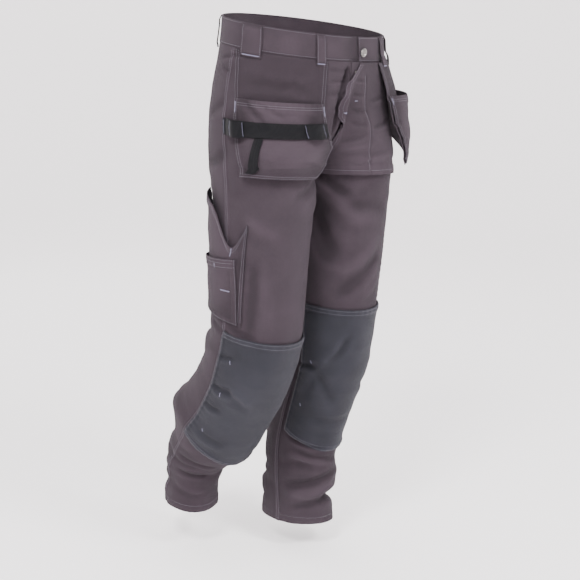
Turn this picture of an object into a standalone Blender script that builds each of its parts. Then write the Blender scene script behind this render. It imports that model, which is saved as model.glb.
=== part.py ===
"""Cargo work pants, hollow, in the pose they have when worn, hung from the waist.

Metres, +Z up. The front faces -Y and the wearer's left is +X. The origin is the middle of
the waist, where the pants are held. Each half of the body and its leg is one stack of
rings: above the crotch a ring is cut open at the middle plane, and below it is a closed
tube. A piece of cloth is a patch of that surface. Its place is given by the distance down
the leg and by the turn round the ring: 0 at the centre front or inseam, 0.5 at the side
seam and 1 at the centre back or inseam. Its layers are moved out from the surface.
"""

import bisect
import functools
import math
from collections import namedtuple

import bmesh
import bpy
from mathutils import Vector

# Driving dimensions, in metres
CLOTH = 0.0016
PAD_CLOTH = 0.0026
WEBBING = 0.0015
SEAM_GAP = 0.0003
LAYER_GAP = 0.0006
MIDDLE_GAP = 0.0002
BAND_TOP = -0.025
WAIST_SEAM = 0.023
CROTCH = 0.237
LOOP_WIDTH = 0.017
LOOP_STANDOFF = 0.0034
LOOP_TAIL = 0.012
LOOP_SEAT = 0.0014
BAND_OUT = 0.0009
BUTTON_RADIUS = 0.0085
BUTTON_THICK = 0.003
BUTTON_STANDOFF = 0.003
BUTTON_TURN = 0.060
BUTTON_DOWN = 0.004
SHIELD_SEAT = 0.0008
SHIELD_CLOTH = 0.0008
SLIDER_SEAT = 0.0018
SLIDER_THICK = 0.0025
WEBBING_WIDTH = 0.030
TOOL_BAND_TOP = 0.150
TOOL_BAND_TURNS = (0.110, 0.492)
TOOL_LOOP_TURNS = {"rear": (0.385, 0.440), "front": (0.130, 0.200)}
TOOL_LOOP_STANDOFF = 0.013
SIDE_LEAN = -0.055
LEAN_ENDS = 0.20
BODY_TURN = 0.49

# A ring: distance down the leg, middle point, half widths, turn outwards and pitch in degrees
Ring = namedtuple("Ring", "down x y z wide deep turn pitch")

BODY_RINGS = [
    Ring(-0.040, 0.000, 0.000, 0.040, 0.172, 0.134, 0, 9),
    Ring(0.000, 0.000, 0.000, 0.000, 0.174, 0.136, 0, 9),
    Ring(0.055, 0.006, 0.004, -0.055, 0.175, 0.141, 0, 7),
    Ring(0.100, 0.024, 0.009, -0.100, 0.163, 0.141, 0, 5),
    Ring(0.150, 0.054, 0.013, -0.150, 0.137, 0.135, 0, 3),
    Ring(0.200, 0.082, 0.010, -0.200, 0.112, 0.128, 0, 1),
    Ring(CROTCH, 0.098, 0.006, -0.237, 0.098, 0.121, 0, 0),
]
LEG_RINGS = {
    "right": [
        Ring(0.300, 0.100, 0.004, -0.300, 0.094, 0.112, 0, 0),
        Ring(0.400, 0.105, 0.005, -0.400, 0.090, 0.104, 0, 2),
        Ring(0.500, 0.109, 0.008, -0.500, 0.087, 0.101, 0, 6),
        Ring(0.581, 0.111, 0.018, -0.580, 0.085, 0.102, 0, 13),
        Ring(0.667, 0.112, 0.050, -0.660, 0.082, 0.101, 0, 25),
        Ring(0.752, 0.110, 0.098, -0.730, 0.080, 0.098, 0, 35),
        Ring(0.831, 0.108, 0.150, -0.790, 0.080, 0.103, 0, 37),
        Ring(0.884, 0.107, 0.185, -0.830, 0.074, 0.096, 4, 34),
        Ring(0.929, 0.106, 0.212, -0.866, 0.066, 0.080, 8, 28),
        Ring(0.970, 0.104, 0.235, -0.900, 0.060, 0.075, 14, 20),
        Ring(1.024, 0.102, 0.255, -0.950, 0.057, 0.076, 22, 10),
        Ring(1.085, 0.100, 0.263, -1.010, 0.056, 0.081, 30, 3),
    ],
    "left": [
        Ring(0.300, 0.100, 0.003, -0.300, 0.095, 0.112, 0, 0),
        Ring(0.400, 0.100, 0.010, -0.400, 0.092, 0.104, 0, 2),
        Ring(0.500, 0.100, 0.019, -0.500, 0.088, 0.099, 0, 5),
        Ring(0.580, 0.100, 0.027, -0.580, 0.084, 0.097, 0, 8),
        Ring(0.661, 0.099, 0.040, -0.660, 0.078, 0.094, 0, 14),
        Ring(0.736, 0.097, 0.066, -0.730, 0.072, 0.091, 0, 19),
        Ring(0.811, 0.093, 0.092, -0.800, 0.067, 0.090, 0, 16),
        Ring(0.872, 0.089, 0.106, -0.860, 0.065, 0.088, 0, 10),
        Ring(0.932, 0.086, 0.113, -0.920, 0.064, 0.086, 4, 5),
        Ring(0.992, 0.083, 0.115, -0.980, 0.062, 0.084, 9, 2),
        Ring(1.060, 0.080, 0.114, -1.048, 0.062, 0.086, 14, 0),
    ],
}
HEM = {"right": 1.078, "left": 1.052}

# The facets that all pieces share: columns for one turn, and rows close together below the knee
COLUMNS = 18
NUDGE = 0.001
CUT_NEAR = 0.0015


def facet_rows(side):
    ends = [(-0.040, 2), (WAIST_SEAM, 10), (0.25, 7), (0.56, 18), (HEM[side], 0)]
    rows = []
    for (start, count), (end, _) in zip(ends, ends[1:]):
        rows += [start + (end - start) * k / count for k in range(count)]
    return rows + [HEM[side]]


ROWS = {side: facet_rows(side) for side in HEM}

# The largest folds: middle, reach down and round, slant down for each whole turn, height out
Fold = namedtuple("Fold", "down turn reach_down reach_turn slant height")
FOLDS = {
    "right": [
        Fold(0.275, 0.16, 0.016, 0.11, 0.30, -0.005),
        Fold(0.300, 0.80, 0.020, 0.14, -0.10, -0.007),
        Fold(0.330, 0.84, 0.018, 0.12, -0.16, 0.004),
        Fold(0.610, 0.77, 0.018, 0.15, 0.10, -0.009),
        Fold(0.645, 0.76, 0.016, 0.15, 0.04, 0.007),
        Fold(0.685, 0.75, 0.018, 0.14, -0.06, -0.008),
        Fold(0.845, 0.66, 0.024, 0.17, 0.08, 0.012),
        Fold(0.905, 0.62, 0.017, 0.20, 0.14, -0.008),
        Fold(0.948, 0.72, 0.014, 0.15, -0.12, 0.006),
        Fold(0.985, 0.30, 0.014, 0.16, 0.12, -0.006),
        Fold(1.030, 0.50, 0.012, 0.16, 0.10, -0.006),
    ],
    "left": [
        Fold(0.275, 0.14, 0.016, 0.10, 0.30, -0.004),
        Fold(0.300, 0.80, 0.020, 0.14, -0.10, -0.006),
        Fold(0.640, 0.77, 0.018, 0.15, 0.08, -0.006),
        Fold(0.690, 0.75, 0.018, 0.14, -0.05, 0.005),
        Fold(0.905, 0.13, 0.012, 0.13, -0.12, -0.006),
        Fold(0.940, 0.36, 0.018, 0.14, 0.10, 0.007),
        Fold(1.000, 0.39, 0.012, 0.13, 0.05, -0.017),
        Fold(1.010, 0.20, 0.012, 0.13, -0.18, -0.008),
        Fold(0.960, 0.80, 0.014, 0.16, 0.10, -0.006),
        Fold(1.005, 0.74, 0.014, 0.15, -0.10, 0.006),
    ],
}

# How far a hanging layer stands off the body, by distance down
Hang = namedtuple("Hang", "down standoff")
HANG = {
    "right": [Hang(0.02, 0.0), Hang(0.10, 0.003), Hang(0.18, 0.008), Hang(0.28, 0.012)],
    "left": [Hang(0.02, 0.0), Hang(0.10, 0.0145), Hang(0.18, 0.021), Hang(0.28, 0.025)],
}
POUCH_DEPTH = {"right": 0.013, "left": 0.019}

# An outline's row: where it starts and where it ends, each as distance down and turn
Row = namedtuple("Row", "down_start turn_start down_end turn_end")
HOLSTER_ROWS = {
    "right": [
        Row(0.025, 0.096, 0.025, 0.465),
        Row(0.110, 0.109, 0.110, 0.435),
        Row(0.165, 0.098, 0.165, 0.432),
        Row(0.205, 0.080, 0.205, 0.432),
        Row(0.232, 0.135, 0.232, 0.433),
        Row(0.264, 0.215, 0.256, 0.433),
    ],
    "left": [
        Row(0.025, 0.148, 0.025, 0.470),
        Row(0.100, 0.165, 0.100, 0.462),
        Row(0.150, 0.205, 0.135, 0.460),
        Row(0.200, 0.270, 0.170, 0.458),
        Row(0.252, 0.335, 0.200, 0.455),
    ],
}
POUCH_MOUTH = {"right": 0.108, "left": 0.094}
APRON_ROWS = [
    Row(0.025, 0.042, 0.025, 0.260),
    Row(0.070, 0.034, 0.070, 0.265),
    Row(0.130, 0.020, 0.130, 0.275),
    Row(0.190, 0.010, 0.190, 0.290),
    Row(0.252, 0.020, 0.254, 0.330),
]
APRON_GAPE = 0.004
APRON_SEAT = 0.0024
APRON_HEM_OUT = 0.003
CARGO_ROWS = {
    "right": [
        Row(0.325, 0.415, 0.290, 0.640),
        Row(0.400, 0.420, 0.400, 0.645),
        Row(0.480, 0.425, 0.480, 0.645),
        Row(0.545, 0.425, 0.540, 0.640),
    ],
    "left": [
        Row(0.325, 0.400, 0.290, 0.620),
        Row(0.400, 0.405, 0.400, 0.625),
        Row(0.480, 0.410, 0.480, 0.625),
        Row(0.545, 0.410, 0.540, 0.620),
    ],
}
CARGO_MOUTH_DIP = 0.075
CARGO_MOUTH_TURN = 0.22
CARGO_DEPTH = 0.012
CARGO_FULL = 0.36
RULER_ROWS = {
    "right": [Row(0.415, 0.448, 0.422, 0.634), Row(0.541, 0.436, 0.536, 0.634)],
    "left": [Row(0.415, 0.432, 0.422, 0.614), Row(0.541, 0.420, 0.536, 0.614)],
}
RULER_DEPTH = 0.0035
KNEE_ROWS = {
    "right": [
        Row(0.585, 0.020, 0.578, 0.492),
        Row(0.720, 0.018, 0.720, 0.492),
        Row(0.836, 0.018, 0.846, 0.490),
    ],
    "left": [
        Row(0.545, 0.020, 0.552, 0.492),
        Row(0.700, 0.018, 0.700, 0.492),
        Row(0.838, 0.018, 0.842, 0.490),
    ],
}
KNEE_BOW = 0.026

# Belt loops: side, turn at the middle, width in plain loops, and what the tail lies over
Loop = namedtuple("Loop", "name side turn widths tail_height")
LOOPS = [
    Loop("belt_loop_right_side", "right", 0.391, 2.7, 0.0033),
    Loop("belt_loop_right_front", "right", 0.122, 1.0, 0.0033),
    Loop("belt_loop_left_front", "left", 0.195, 1.0, 0.0095),
    Loop("belt_loop_left_side", "left", 0.345, 1.0, 0.0095),
    Loop("belt_loop_right_back", "right", 0.690, 1.0, 0.0012),
    Loop("belt_loop_left_back", "left", 0.690, 1.0, 0.0012),
    Loop("belt_loop_centre_back", "right", 1.000, 1.0, 0.0012),
]

CLOTH_GREY = ("twill_grey", (0.138, 0.107, 0.133), 0.85, 0.0)
PAD_SLATE = ("pad_slate", (0.070, 0.072, 0.098), 0.75, 0.0)
WEBBING_BLACK = ("webbing_black", (0.012, 0.012, 0.014), 0.80, 0.0)
METAL = ("metal_bright", (0.55, 0.52, 0.47), 0.30, 1.0)
SEAM_MARGIN = 0.0004


def clear_scene():
    for obj in list(bpy.data.objects):
        bpy.data.objects.remove(obj)


def material_of(finish):
    name, colour, roughness, metallic = finish
    found = bpy.data.materials.get(name)
    if found:
        return found
    made = bpy.data.materials.new(name)
    made.use_nodes = True
    shader = made.node_tree.nodes["Principled BSDF"]
    shader.inputs["Base Color"].default_value = (*colour, 1.0)
    shader.inputs["Roughness"].default_value = roughness
    shader.inputs["Metallic"].default_value = metallic
    return made


def between(points, at, rounded=True):
    """The height at `at` of a curve through (place, height) points in rising order."""
    if at <= points[0][0]:
        return points[0][1]
    if at >= points[-1][0]:
        return points[-1][1]
    last = len(points) - 1
    i = max(k for k in range(last) if points[k][0] <= at)
    (x0, y0), (x1, y1) = points[i], points[i + 1]
    step = x1 - x0
    t = (at - x0) / step
    if not rounded:
        return y0 + (y1 - y0) * t

    def slope(k):
        low, high = max(k - 1, 0), min(k + 1, last)
        return (points[high][1] - points[low][1]) / (points[high][0] - points[low][0])

    return (
        (2 * t**3 - 3 * t**2 + 1) * y0
        + (t**3 - 2 * t**2 + t) * step * slope(i)
        + (3 * t**2 - 2 * t**3) * y1
        + (t**3 - t**2) * step * slope(i + 1)
    )


def limited(value):
    return min(1.0, max(0.0, value))


def ring_at(side, down):
    rings = BODY_RINGS + LEG_RINGS[side]
    values = [between([(ring.down, ring[k]) for ring in rings], down) for k in range(1, 8)]
    return Ring(down, *values)


def fold_height(side, down, turn):
    total = 0.0
    for fold in FOLDS[side]:
        away = (down - fold.down - fold.slant * (turn - fold.turn)) / fold.reach_down
        round_away = (turn - fold.turn) / fold.reach_turn
        total += fold.height * math.exp(-away * away - round_away * round_away)
    return total


def other(side):
    return "left" if side == "right" else "right"


def surface(side, down, turn, lift=0.0):
    """A point of the cloth's outer face, or `lift` out from it, at a place on the leg."""
    ring = ring_at(side, down)
    half_turn = math.pi - math.acos(max(-1.0, min(1.0, ring.x / ring.wide)))
    if down >= CROTCH:
        half_turn = math.pi
    angle = (2 * turn - 1) * half_turn
    out = Vector((math.cos(angle) / ring.wide, math.sin(angle) / ring.deep)).normalized()
    lift += fold_height(side, down, turn)
    across = ring.wide * math.cos(angle) + lift * out.x
    along = ring.deep * math.sin(angle) + lift * out.y
    twist = -math.radians(ring.turn)
    across, along = (
        across * math.cos(twist) + along * math.sin(twist),
        along * math.cos(twist) - across * math.sin(twist),
    )
    pitch = math.radians(ring.pitch)
    sign = -1 if side == "right" else 1
    x = sign * (ring.x + across + MIDDLE_GAP)
    y = ring.y + along * math.cos(pitch)
    z = ring.z + along * math.sin(pitch)
    fade = 1.0 - limited(down / LEAN_ENDS)
    return Vector((x, y, z + SIDE_LEAN * x * fade))


@functools.cache
def corner(side, row, column):
    """A corner of the facets that every piece follows, with the way out from it."""
    down, turn = ROWS[side][row], column / COLUMNS
    point = surface(side, down, turn)
    return point, (surface(side, down, turn, NUDGE) - point) / NUDGE


def on_cloth(side, down, turn, lift):
    """A point `lift` out from the facets of the panels, so that layers never cut each other."""
    if turn > 2:
        turn -= 2
    elif turn > 1:
        side, turn = other(side), 2 - turn
    elif turn < 0:
        side, turn = other(side), -turn
    rows = ROWS[side]
    row = min(max(bisect.bisect_right(rows, down) - 1, 0), len(rows) - 2)
    column = min(int(turn * COLUMNS), COLUMNS - 1)
    p = (down - rows[row]) / (rows[row + 1] - rows[row])
    q = turn * COLUMNS - column
    shares = ((0, 0, (1 - p) * (1 - q)), (1, 0, p * (1 - q)), (0, 1, (1 - p) * q), (1, 1, p * q))
    place = Vector()
    for add_row, add_column, share in shares:
        point, out = corner(side, row + add_row, column + add_column)
        place += (point + out * lift) * share
    return place


def cut_along_facets(bm, side):
    """Cuts a piece, flat in turn and down, wherever it crosses an edge of the panels' facets."""
    turns = [vert.co.x for vert in bm.verts]
    downs = [vert.co.y for vert in bm.verts]
    lines = [((k / COLUMNS, 0, 0), (1, 0, 0)) for k in range(-COLUMNS, 3 * COLUMNS)]
    lines = [line for line in lines if min(turns) < line[0][0] < max(turns)]
    lines += [((0, d, 0), (0, 1, 0)) for d in ROWS[side] if min(downs) < d < max(downs)]
    for place, way in lines:
        geometry = bm.verts[:] + bm.edges[:] + bm.faces[:]
        bmesh.ops.bisect_plane(bm, geom=geometry, dist=CUT_NEAR, plane_co=place, plane_no=way)


def cloth_piece(name, side, spot, cells, lift, finish):
    """A closed piece of cloth.

    `spot` gives the distance down and the turn for a place from 0 to 1 each way in the piece.
    `lift` gives the heights of its inner and outer faces there.
    """
    bm = bmesh.new()
    bmesh.ops.create_grid(bm, x_segments=cells[0], y_segments=cells[1], size=0.5)
    along, across = bm.verts.layers.float.new("along"), bm.verts.layers.float.new("across")
    for vert in bm.verts:
        vert[along], vert[across] = vert.co.x + 0.5, vert.co.y + 0.5
        down, turn = spot(vert[along], vert[across])
        vert.co = (turn, down, 0)
    cut_along_facets(bm, side)
    made = bmesh.ops.extrude_face_region(bm, geom=bm.faces[:])
    outer = [item for item in made["geom"] if isinstance(item, bmesh.types.BMVert)]
    bmesh.ops.translate(bm, verts=outer, vec=(0, 0, 1))
    for vert in bm.verts:
        turn, down, face = vert.co
        heights = lift(down, turn, vert[along], vert[across])
        vert.co = on_cloth(side, down, turn, heights[round(face)])
    return finished(name, bm, finish)


def finished(name, bm, finish):
    bmesh.ops.recalc_face_normals(bm, faces=bm.faces[:])
    if bm.calc_volume(signed=True) < 0:
        bmesh.ops.reverse_faces(bm, faces=bm.faces[:])
    mesh = bpy.data.meshes.new(name)
    bm.to_mesh(mesh)
    bm.free()
    mesh.shade_smooth()
    mesh.set_sharp_from_angle(angle=math.radians(50))
    mesh.materials.append(material_of(finish))
    obj = bpy.data.objects.new(name, mesh)
    bpy.context.scene.collection.objects.link(obj)
    return obj


def layer(base, thickness):
    """A lift that is the same all over, for a piece lying flat on what is under it."""
    return lambda down, turn, t, s: (base, base + thickness)


def outline(rows):
    """A spot that runs from the first row to the last, and from each row's start to its end."""

    def spot(t, s):
        place = t * (len(rows) - 1)
        i = min(int(place), len(rows) - 2)
        part = place - i
        row = [a + (b - a) * part for a, b in zip(rows[i], rows[i + 1])]
        return row[0] + (row[2] - row[0]) * s, row[1] + (row[3] - row[1]) * s

    return spot


def hang_of(side, down):
    return between([(row.down, row.standoff) for row in HANG[side]], down)


def panels():
    """The four main panels, each from the waist seam to the hem."""
    ends = {"front": (SEAM_MARGIN, 0.5 - SEAM_MARGIN), "back": (0.5 + SEAM_MARGIN, 1 - SEAM_MARGIN)}
    for side in ("right", "left"):
        for face, (first, last) in ends.items():
            spot = outline([Row(WAIST_SEAM, first, WAIST_SEAM, last), Row(HEM[side], first, HEM[side], last)])
            cloth_piece(f"{side}_{face}", side, spot, (1, 1), layer(-CLOTH, CLOTH), CLOTH_GREY)


def waistband():
    """One band round the waist. Its right end runs on under the left end at the front."""
    lap_start, lap_end = 0.042, 2.085
    under = CLOTH + BAND_OUT + 2 * LAYER_GAP

    def lift(down, turn, t, s):
        sink = under * limited((turn - 1.96) / 0.06)
        return -CLOTH - sink, BAND_OUT - sink

    top, seam = BAND_TOP, WAIST_SEAM - SEAM_GAP
    spot = outline([Row(top, lap_start, top, lap_end), Row(seam, lap_start, seam, lap_end)])
    cloth_piece("waistband", "left", spot, (1, 24), lift, CLOTH_GREY)


def belt_loops():
    for loop in LOOPS:
        half = LOOP_WIDTH * loop.widths / BODY_TURN / 2
        first, last = loop.turn - half, loop.turn + half
        top, tail = BAND_TOP + 0.001, WAIST_SEAM + LOOP_TAIL

        def lift(down, turn, t, s, loop=loop):
            rise = LOOP_STANDOFF * min(1.0, math.sin(math.pi * t) * 2.2)
            share = limited((t - 0.35) / 0.4)
            rise = max(rise, (loop.tail_height - LOOP_SEAT) * share * share * (3 - 2 * share))
            return LOOP_SEAT + rise, LOOP_SEAT + CLOTH + rise

        spot = outline([Row(top, first, top, last), Row(tail, first, tail, last)])
        cloth_piece(loop.name, loop.side, spot, (8, 1), lift, CLOTH_GREY)


def button():
    """The flat metal button, set square on the band's lapped end."""
    middle = on_cloth("left", BUTTON_DOWN, BUTTON_TURN, BUTTON_STANDOFF)
    out = (on_cloth("left", BUTTON_DOWN, BUTTON_TURN, 0.01) - middle).normalized()
    bm = bmesh.new()
    bmesh.ops.create_cone(
        bm, cap_ends=True, segments=20, radius1=BUTTON_RADIUS, radius2=BUTTON_RADIUS, depth=BUTTON_THICK
    )
    bmesh.ops.transform(bm, matrix=out.to_track_quat("Z", "Y").to_matrix().to_4x4(), verts=bm.verts)
    bmesh.ops.translate(bm, vec=middle + out * (BUTTON_THICK / 2), verts=bm.verts)
    finished("waist_button", bm, METAL)


def fly():
    """The under-lap behind the zip, the slider, and the left front's outer layer that laps over them."""
    shield_rows = [Row(0.025, 0.003, 0.025, 0.068), Row(0.120, 0.003, 0.120, 0.055)]
    shield = layer(SHIELD_SEAT, SHIELD_CLOTH)
    cloth_piece("fly_shield", "left", outline(shield_rows), (1, 1), shield, CLOTH_GREY)
    slider_rows = [Row(0.040, 0.015, 0.040, 0.032), Row(0.055, 0.015, 0.055, 0.032)]
    slider = layer(SLIDER_SEAT, SLIDER_THICK)
    cloth_piece("zip_slider", "left", outline(slider_rows), (1, 1), slider, METAL)

    def lift(down, turn, t, s):
        gape = APRON_GAPE * math.exp(-((s / 0.10) ** 2)) * math.sin(math.pi * min(1.0, t * 1.25))
        hem = APRON_HEM_OUT * limited((t - 0.5) / 0.4)
        return APRON_SEAT + gape + hem, APRON_SEAT + CLOTH + gape + hem

    cloth_piece("left_front_apron", "left", outline(APRON_ROWS), (6, 6), lift, CLOTH_GREY)


def holster_lift(side, down):
    """The inner face of a holster's back: over the panel, or on the left over the apron."""
    under = LAYER_GAP if side == "right" else APRON_SEAT + CLOTH + LAYER_GAP
    return under + hang_of(side, down)


def pouch_lift(side, down, turn):
    """The inner face of a holster pouch: sewn at its sides and bottom, and open at its mouth."""
    rows = HOLSTER_ROWS[side]
    first = between([(row.down_start, row.turn_start) for row in rows], down, rounded=False)
    last = between([(row.down_end, row.turn_end) for row in rows], down, rounded=False)
    share = limited((turn - first) / (last - first))
    bottom = rows[-1].down_start + (rows[-1].down_end - rows[-1].down_start) * share
    mouth = POUCH_MOUTH[side]
    below = limited((down - mouth) / (bottom - mouth))
    bulge = POUCH_DEPTH[side] * math.sin(math.pi * share) * (1 - below**3)
    return holster_lift(side, down) + CLOTH + LAYER_GAP + bulge


def pouch_rows(side, steps=6):
    """The holster's own outline, from the pouch's mouth down."""
    spot = outline(HOLSTER_ROWS[side])
    start = next(k / 200 for k in range(201) if spot(k / 200, 0)[0] >= POUCH_MOUTH[side])
    places = [start + (0.992 - start) * k / steps for k in range(steps + 1)]
    return [Row(*spot(t, 0.015), *spot(t, 0.985)) for t in places]


def holsters():
    for side in ("right", "left"):

        def back_lift(down, turn, t, s, side=side):
            base = holster_lift(side, down)
            return base, base + CLOTH

        def front_lift(down, turn, t, s, side=side):
            base = pouch_lift(side, down, turn)
            return base, base + CLOTH

        back, front = outline(HOLSTER_ROWS[side]), outline(pouch_rows(side))
        cloth_piece(f"{side}_holster_back", side, back, (6, 1), back_lift, CLOTH_GREY)
        cloth_piece(f"{side}_holster_pouch", side, front, (6, 8), front_lift, CLOTH_GREY)


def over_right_pouch(down, turn):
    """The height just clear of the right pouch, and down on the panel past its rear edge."""
    over = pouch_lift("right", down, turn) + CLOTH + LAYER_GAP
    past = limited((turn - 0.445) / 0.03)
    return over + (LAYER_GAP - over) * past


def tool_webbing():
    """The black band across the right pouch, its two standing loops and its hanging strap."""
    band_top, band_end = TOOL_BAND_TOP, TOOL_BAND_TOP + WEBBING_WIDTH
    band_first, band_last = TOOL_BAND_TURNS

    def band_lift(down, turn, t, s):
        base = over_right_pouch(down, turn)
        return base, base + WEBBING

    band_spot = outline([Row(band_top, band_first, band_top, band_last), Row(band_end, band_first, band_end, band_last)])
    cloth_piece("right_tool_band", "right", band_spot, (1, 16), band_lift, WEBBING_BLACK)

    def loop_lift(down, turn, t, s):
        standoff = TOOL_LOOP_STANDOFF * math.sin(math.pi * s)
        base = over_right_pouch(down, turn) + WEBBING + LAYER_GAP + standoff
        return base, base + WEBBING

    for name, (first, last) in TOOL_LOOP_TURNS.items():
        spot = outline([Row(band_top, first, band_top, last), Row(band_end, first, band_end, last)])
        cloth_piece(f"right_tool_loop_{name}", "right", spot, (1, 10), loop_lift, WEBBING_BLACK)

    def strap_lift(down, turn, t, s):
        base = over_right_pouch(down, turn)
        return base, base + 2 * WEBBING

    strap_top = band_end + 2 * SEAM_GAP
    strap_spot = outline([Row(strap_top, 0.330, strap_top, 0.355), Row(0.247, 0.388, 0.247, 0.412)])
    cloth_piece("right_tool_strap", "right", strap_spot, (7, 1), strap_lift, WEBBING_BLACK)


def cargo_bulge(side, down, turn):
    """How far the long side pocket stands off the leg: most at its mouth, none at its bottom."""
    start, end = CARGO_ROWS[side][1].turn_start, CARGO_ROWS[side][1].turn_end
    bottom = CARGO_ROWS[side][-1].down_start
    fullness = limited((bottom - down) / (bottom - CARGO_FULL)) ** 0.8
    return CARGO_DEPTH * math.sin(math.pi * limited((turn - start) / (end - start))) * fullness


def cargo_pockets():
    """The long side pocket with its dipped mouth, and the smaller one sewn on its lower half."""
    for side in ("right", "left"):
        straight = outline(CARGO_ROWS[side])

        def spot(t, s, straight=straight):
            down, turn = straight(t, s)
            dip = CARGO_MOUTH_DIP * math.exp(-(((s - CARGO_MOUTH_TURN) / 0.2) ** 2))
            return down + dip * (1 - t) ** 2, turn

        def cargo_lift(down, turn, t, s, side=side):
            base = LAYER_GAP + cargo_bulge(side, down, turn)
            return base, base + CLOTH

        def ruler_lift(down, turn, t, s, side=side):
            standoff = RULER_DEPTH * math.sin(math.pi * s) * (1 - t) ** 0.6
            base = 2 * LAYER_GAP + CLOTH + cargo_bulge(side, down, turn) + standoff
            return base, base + CLOTH

        cloth_piece(f"{side}_cargo_pocket", side, spot, (6, 10), cargo_lift, CLOTH_GREY)
        ruler = outline(RULER_ROWS[side])
        cloth_piece(f"{side}_ruler_pocket", side, ruler, (4, 6), ruler_lift, CLOTH_GREY)


def knee_pouches():
    """The grey-blue pouches over the knees, from seam to seam, their lower edge bowed down."""
    for side in ("right", "left"):
        straight = outline(KNEE_ROWS[side])

        def spot(t, s, straight=straight):
            down, turn = straight(t, s)
            return down + KNEE_BOW * t * t * math.sin(math.pi * s), turn

        cloth_piece(f"{side}_knee_pouch", side, spot, (2, 6), layer(LAYER_GAP, PAD_CLOTH), PAD_SLATE)


def main():
    clear_scene()
    panels()
    waistband()
    belt_loops()
    button()
    fly()
    holsters()
    tool_webbing()
    cargo_pockets()
    knee_pouches()


main()
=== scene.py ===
"""Cargo work pants in grey twill with holster pockets, a tool band and slate knee pouches.

Metres, +Z up. The front faces -Y and the wearer's left is +X. The origin is the middle of
the waist, where the pants are held. A place on the cloth is a distance down the leg and a
turn round it: 0 at the centre front or inseam, 0.5 at the side seam and 1 at the centre
back. Each piece is a grid laid on that surface and moved out from it, then given its
thickness by a Solidify modifier. Stitches are small meshes sunk into the cloth.
"""

import math
from collections import namedtuple

import bmesh
import bpy
import numpy as np
from bpy.props import FloatProperty, FloatVectorProperty, PointerProperty
from mathutils import Matrix, Vector


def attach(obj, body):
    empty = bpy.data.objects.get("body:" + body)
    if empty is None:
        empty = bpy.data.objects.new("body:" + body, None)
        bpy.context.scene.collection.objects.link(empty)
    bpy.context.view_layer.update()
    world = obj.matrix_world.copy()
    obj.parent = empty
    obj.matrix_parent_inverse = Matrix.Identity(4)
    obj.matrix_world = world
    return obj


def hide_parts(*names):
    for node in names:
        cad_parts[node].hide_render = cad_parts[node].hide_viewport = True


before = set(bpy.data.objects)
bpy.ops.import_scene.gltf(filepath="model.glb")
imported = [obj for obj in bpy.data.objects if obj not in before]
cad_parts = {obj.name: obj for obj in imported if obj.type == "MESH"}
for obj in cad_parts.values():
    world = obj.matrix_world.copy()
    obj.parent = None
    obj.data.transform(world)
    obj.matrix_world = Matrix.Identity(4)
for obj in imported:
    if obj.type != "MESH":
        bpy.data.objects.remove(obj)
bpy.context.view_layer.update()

bl_info = {
    "name": "Cargo work pants",
    "version": (1, 0, 0),
    "blender": (4, 5, 0),
    "location": "3D View > Sidebar > Work pants",
    "description": "Builds the cloth, stitching and stage of a pair of cargo work pants",
    "category": "Object",
}

# Driving dimensions, in metres
CLOTH = 0.0016
PAD_CLOTH = 0.0026
WEBBING = 0.0015
LAYER_GAP = 0.0006
SEAM_GAP = 0.0003
MIDDLE_GAP = 0.0002
BAND_TOP = -0.025
WAIST_SEAM = 0.023
CROTCH = 0.237
HEM = {"right": 1.078, "left": 1.052}
LOOP_WIDTH = 0.017
LOOP_STANDOFF = 0.0034
LOOP_TAIL = 0.012
LOOP_SEAT = 0.0014
BAND_OUT = 0.0009
WEBBING_WIDTH = 0.030
TOOL_BAND_TOP = 0.150
TOOL_BAND_TURNS = (0.110, 0.492)
TOOL_LOOP_TURNS = {"rear": (0.385, 0.440), "front": (0.130, 0.200)}
TOOL_LOOP_STANDOFF = 0.013
SIDE_LEAN = -0.055
LEAN_ENDS = 0.20
BODY_TURN = 0.49

# A ring: distance down the leg, middle point, half widths, turn outwards and pitch in degrees
Ring = namedtuple("Ring", "down x y z wide deep turn pitch")

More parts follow.
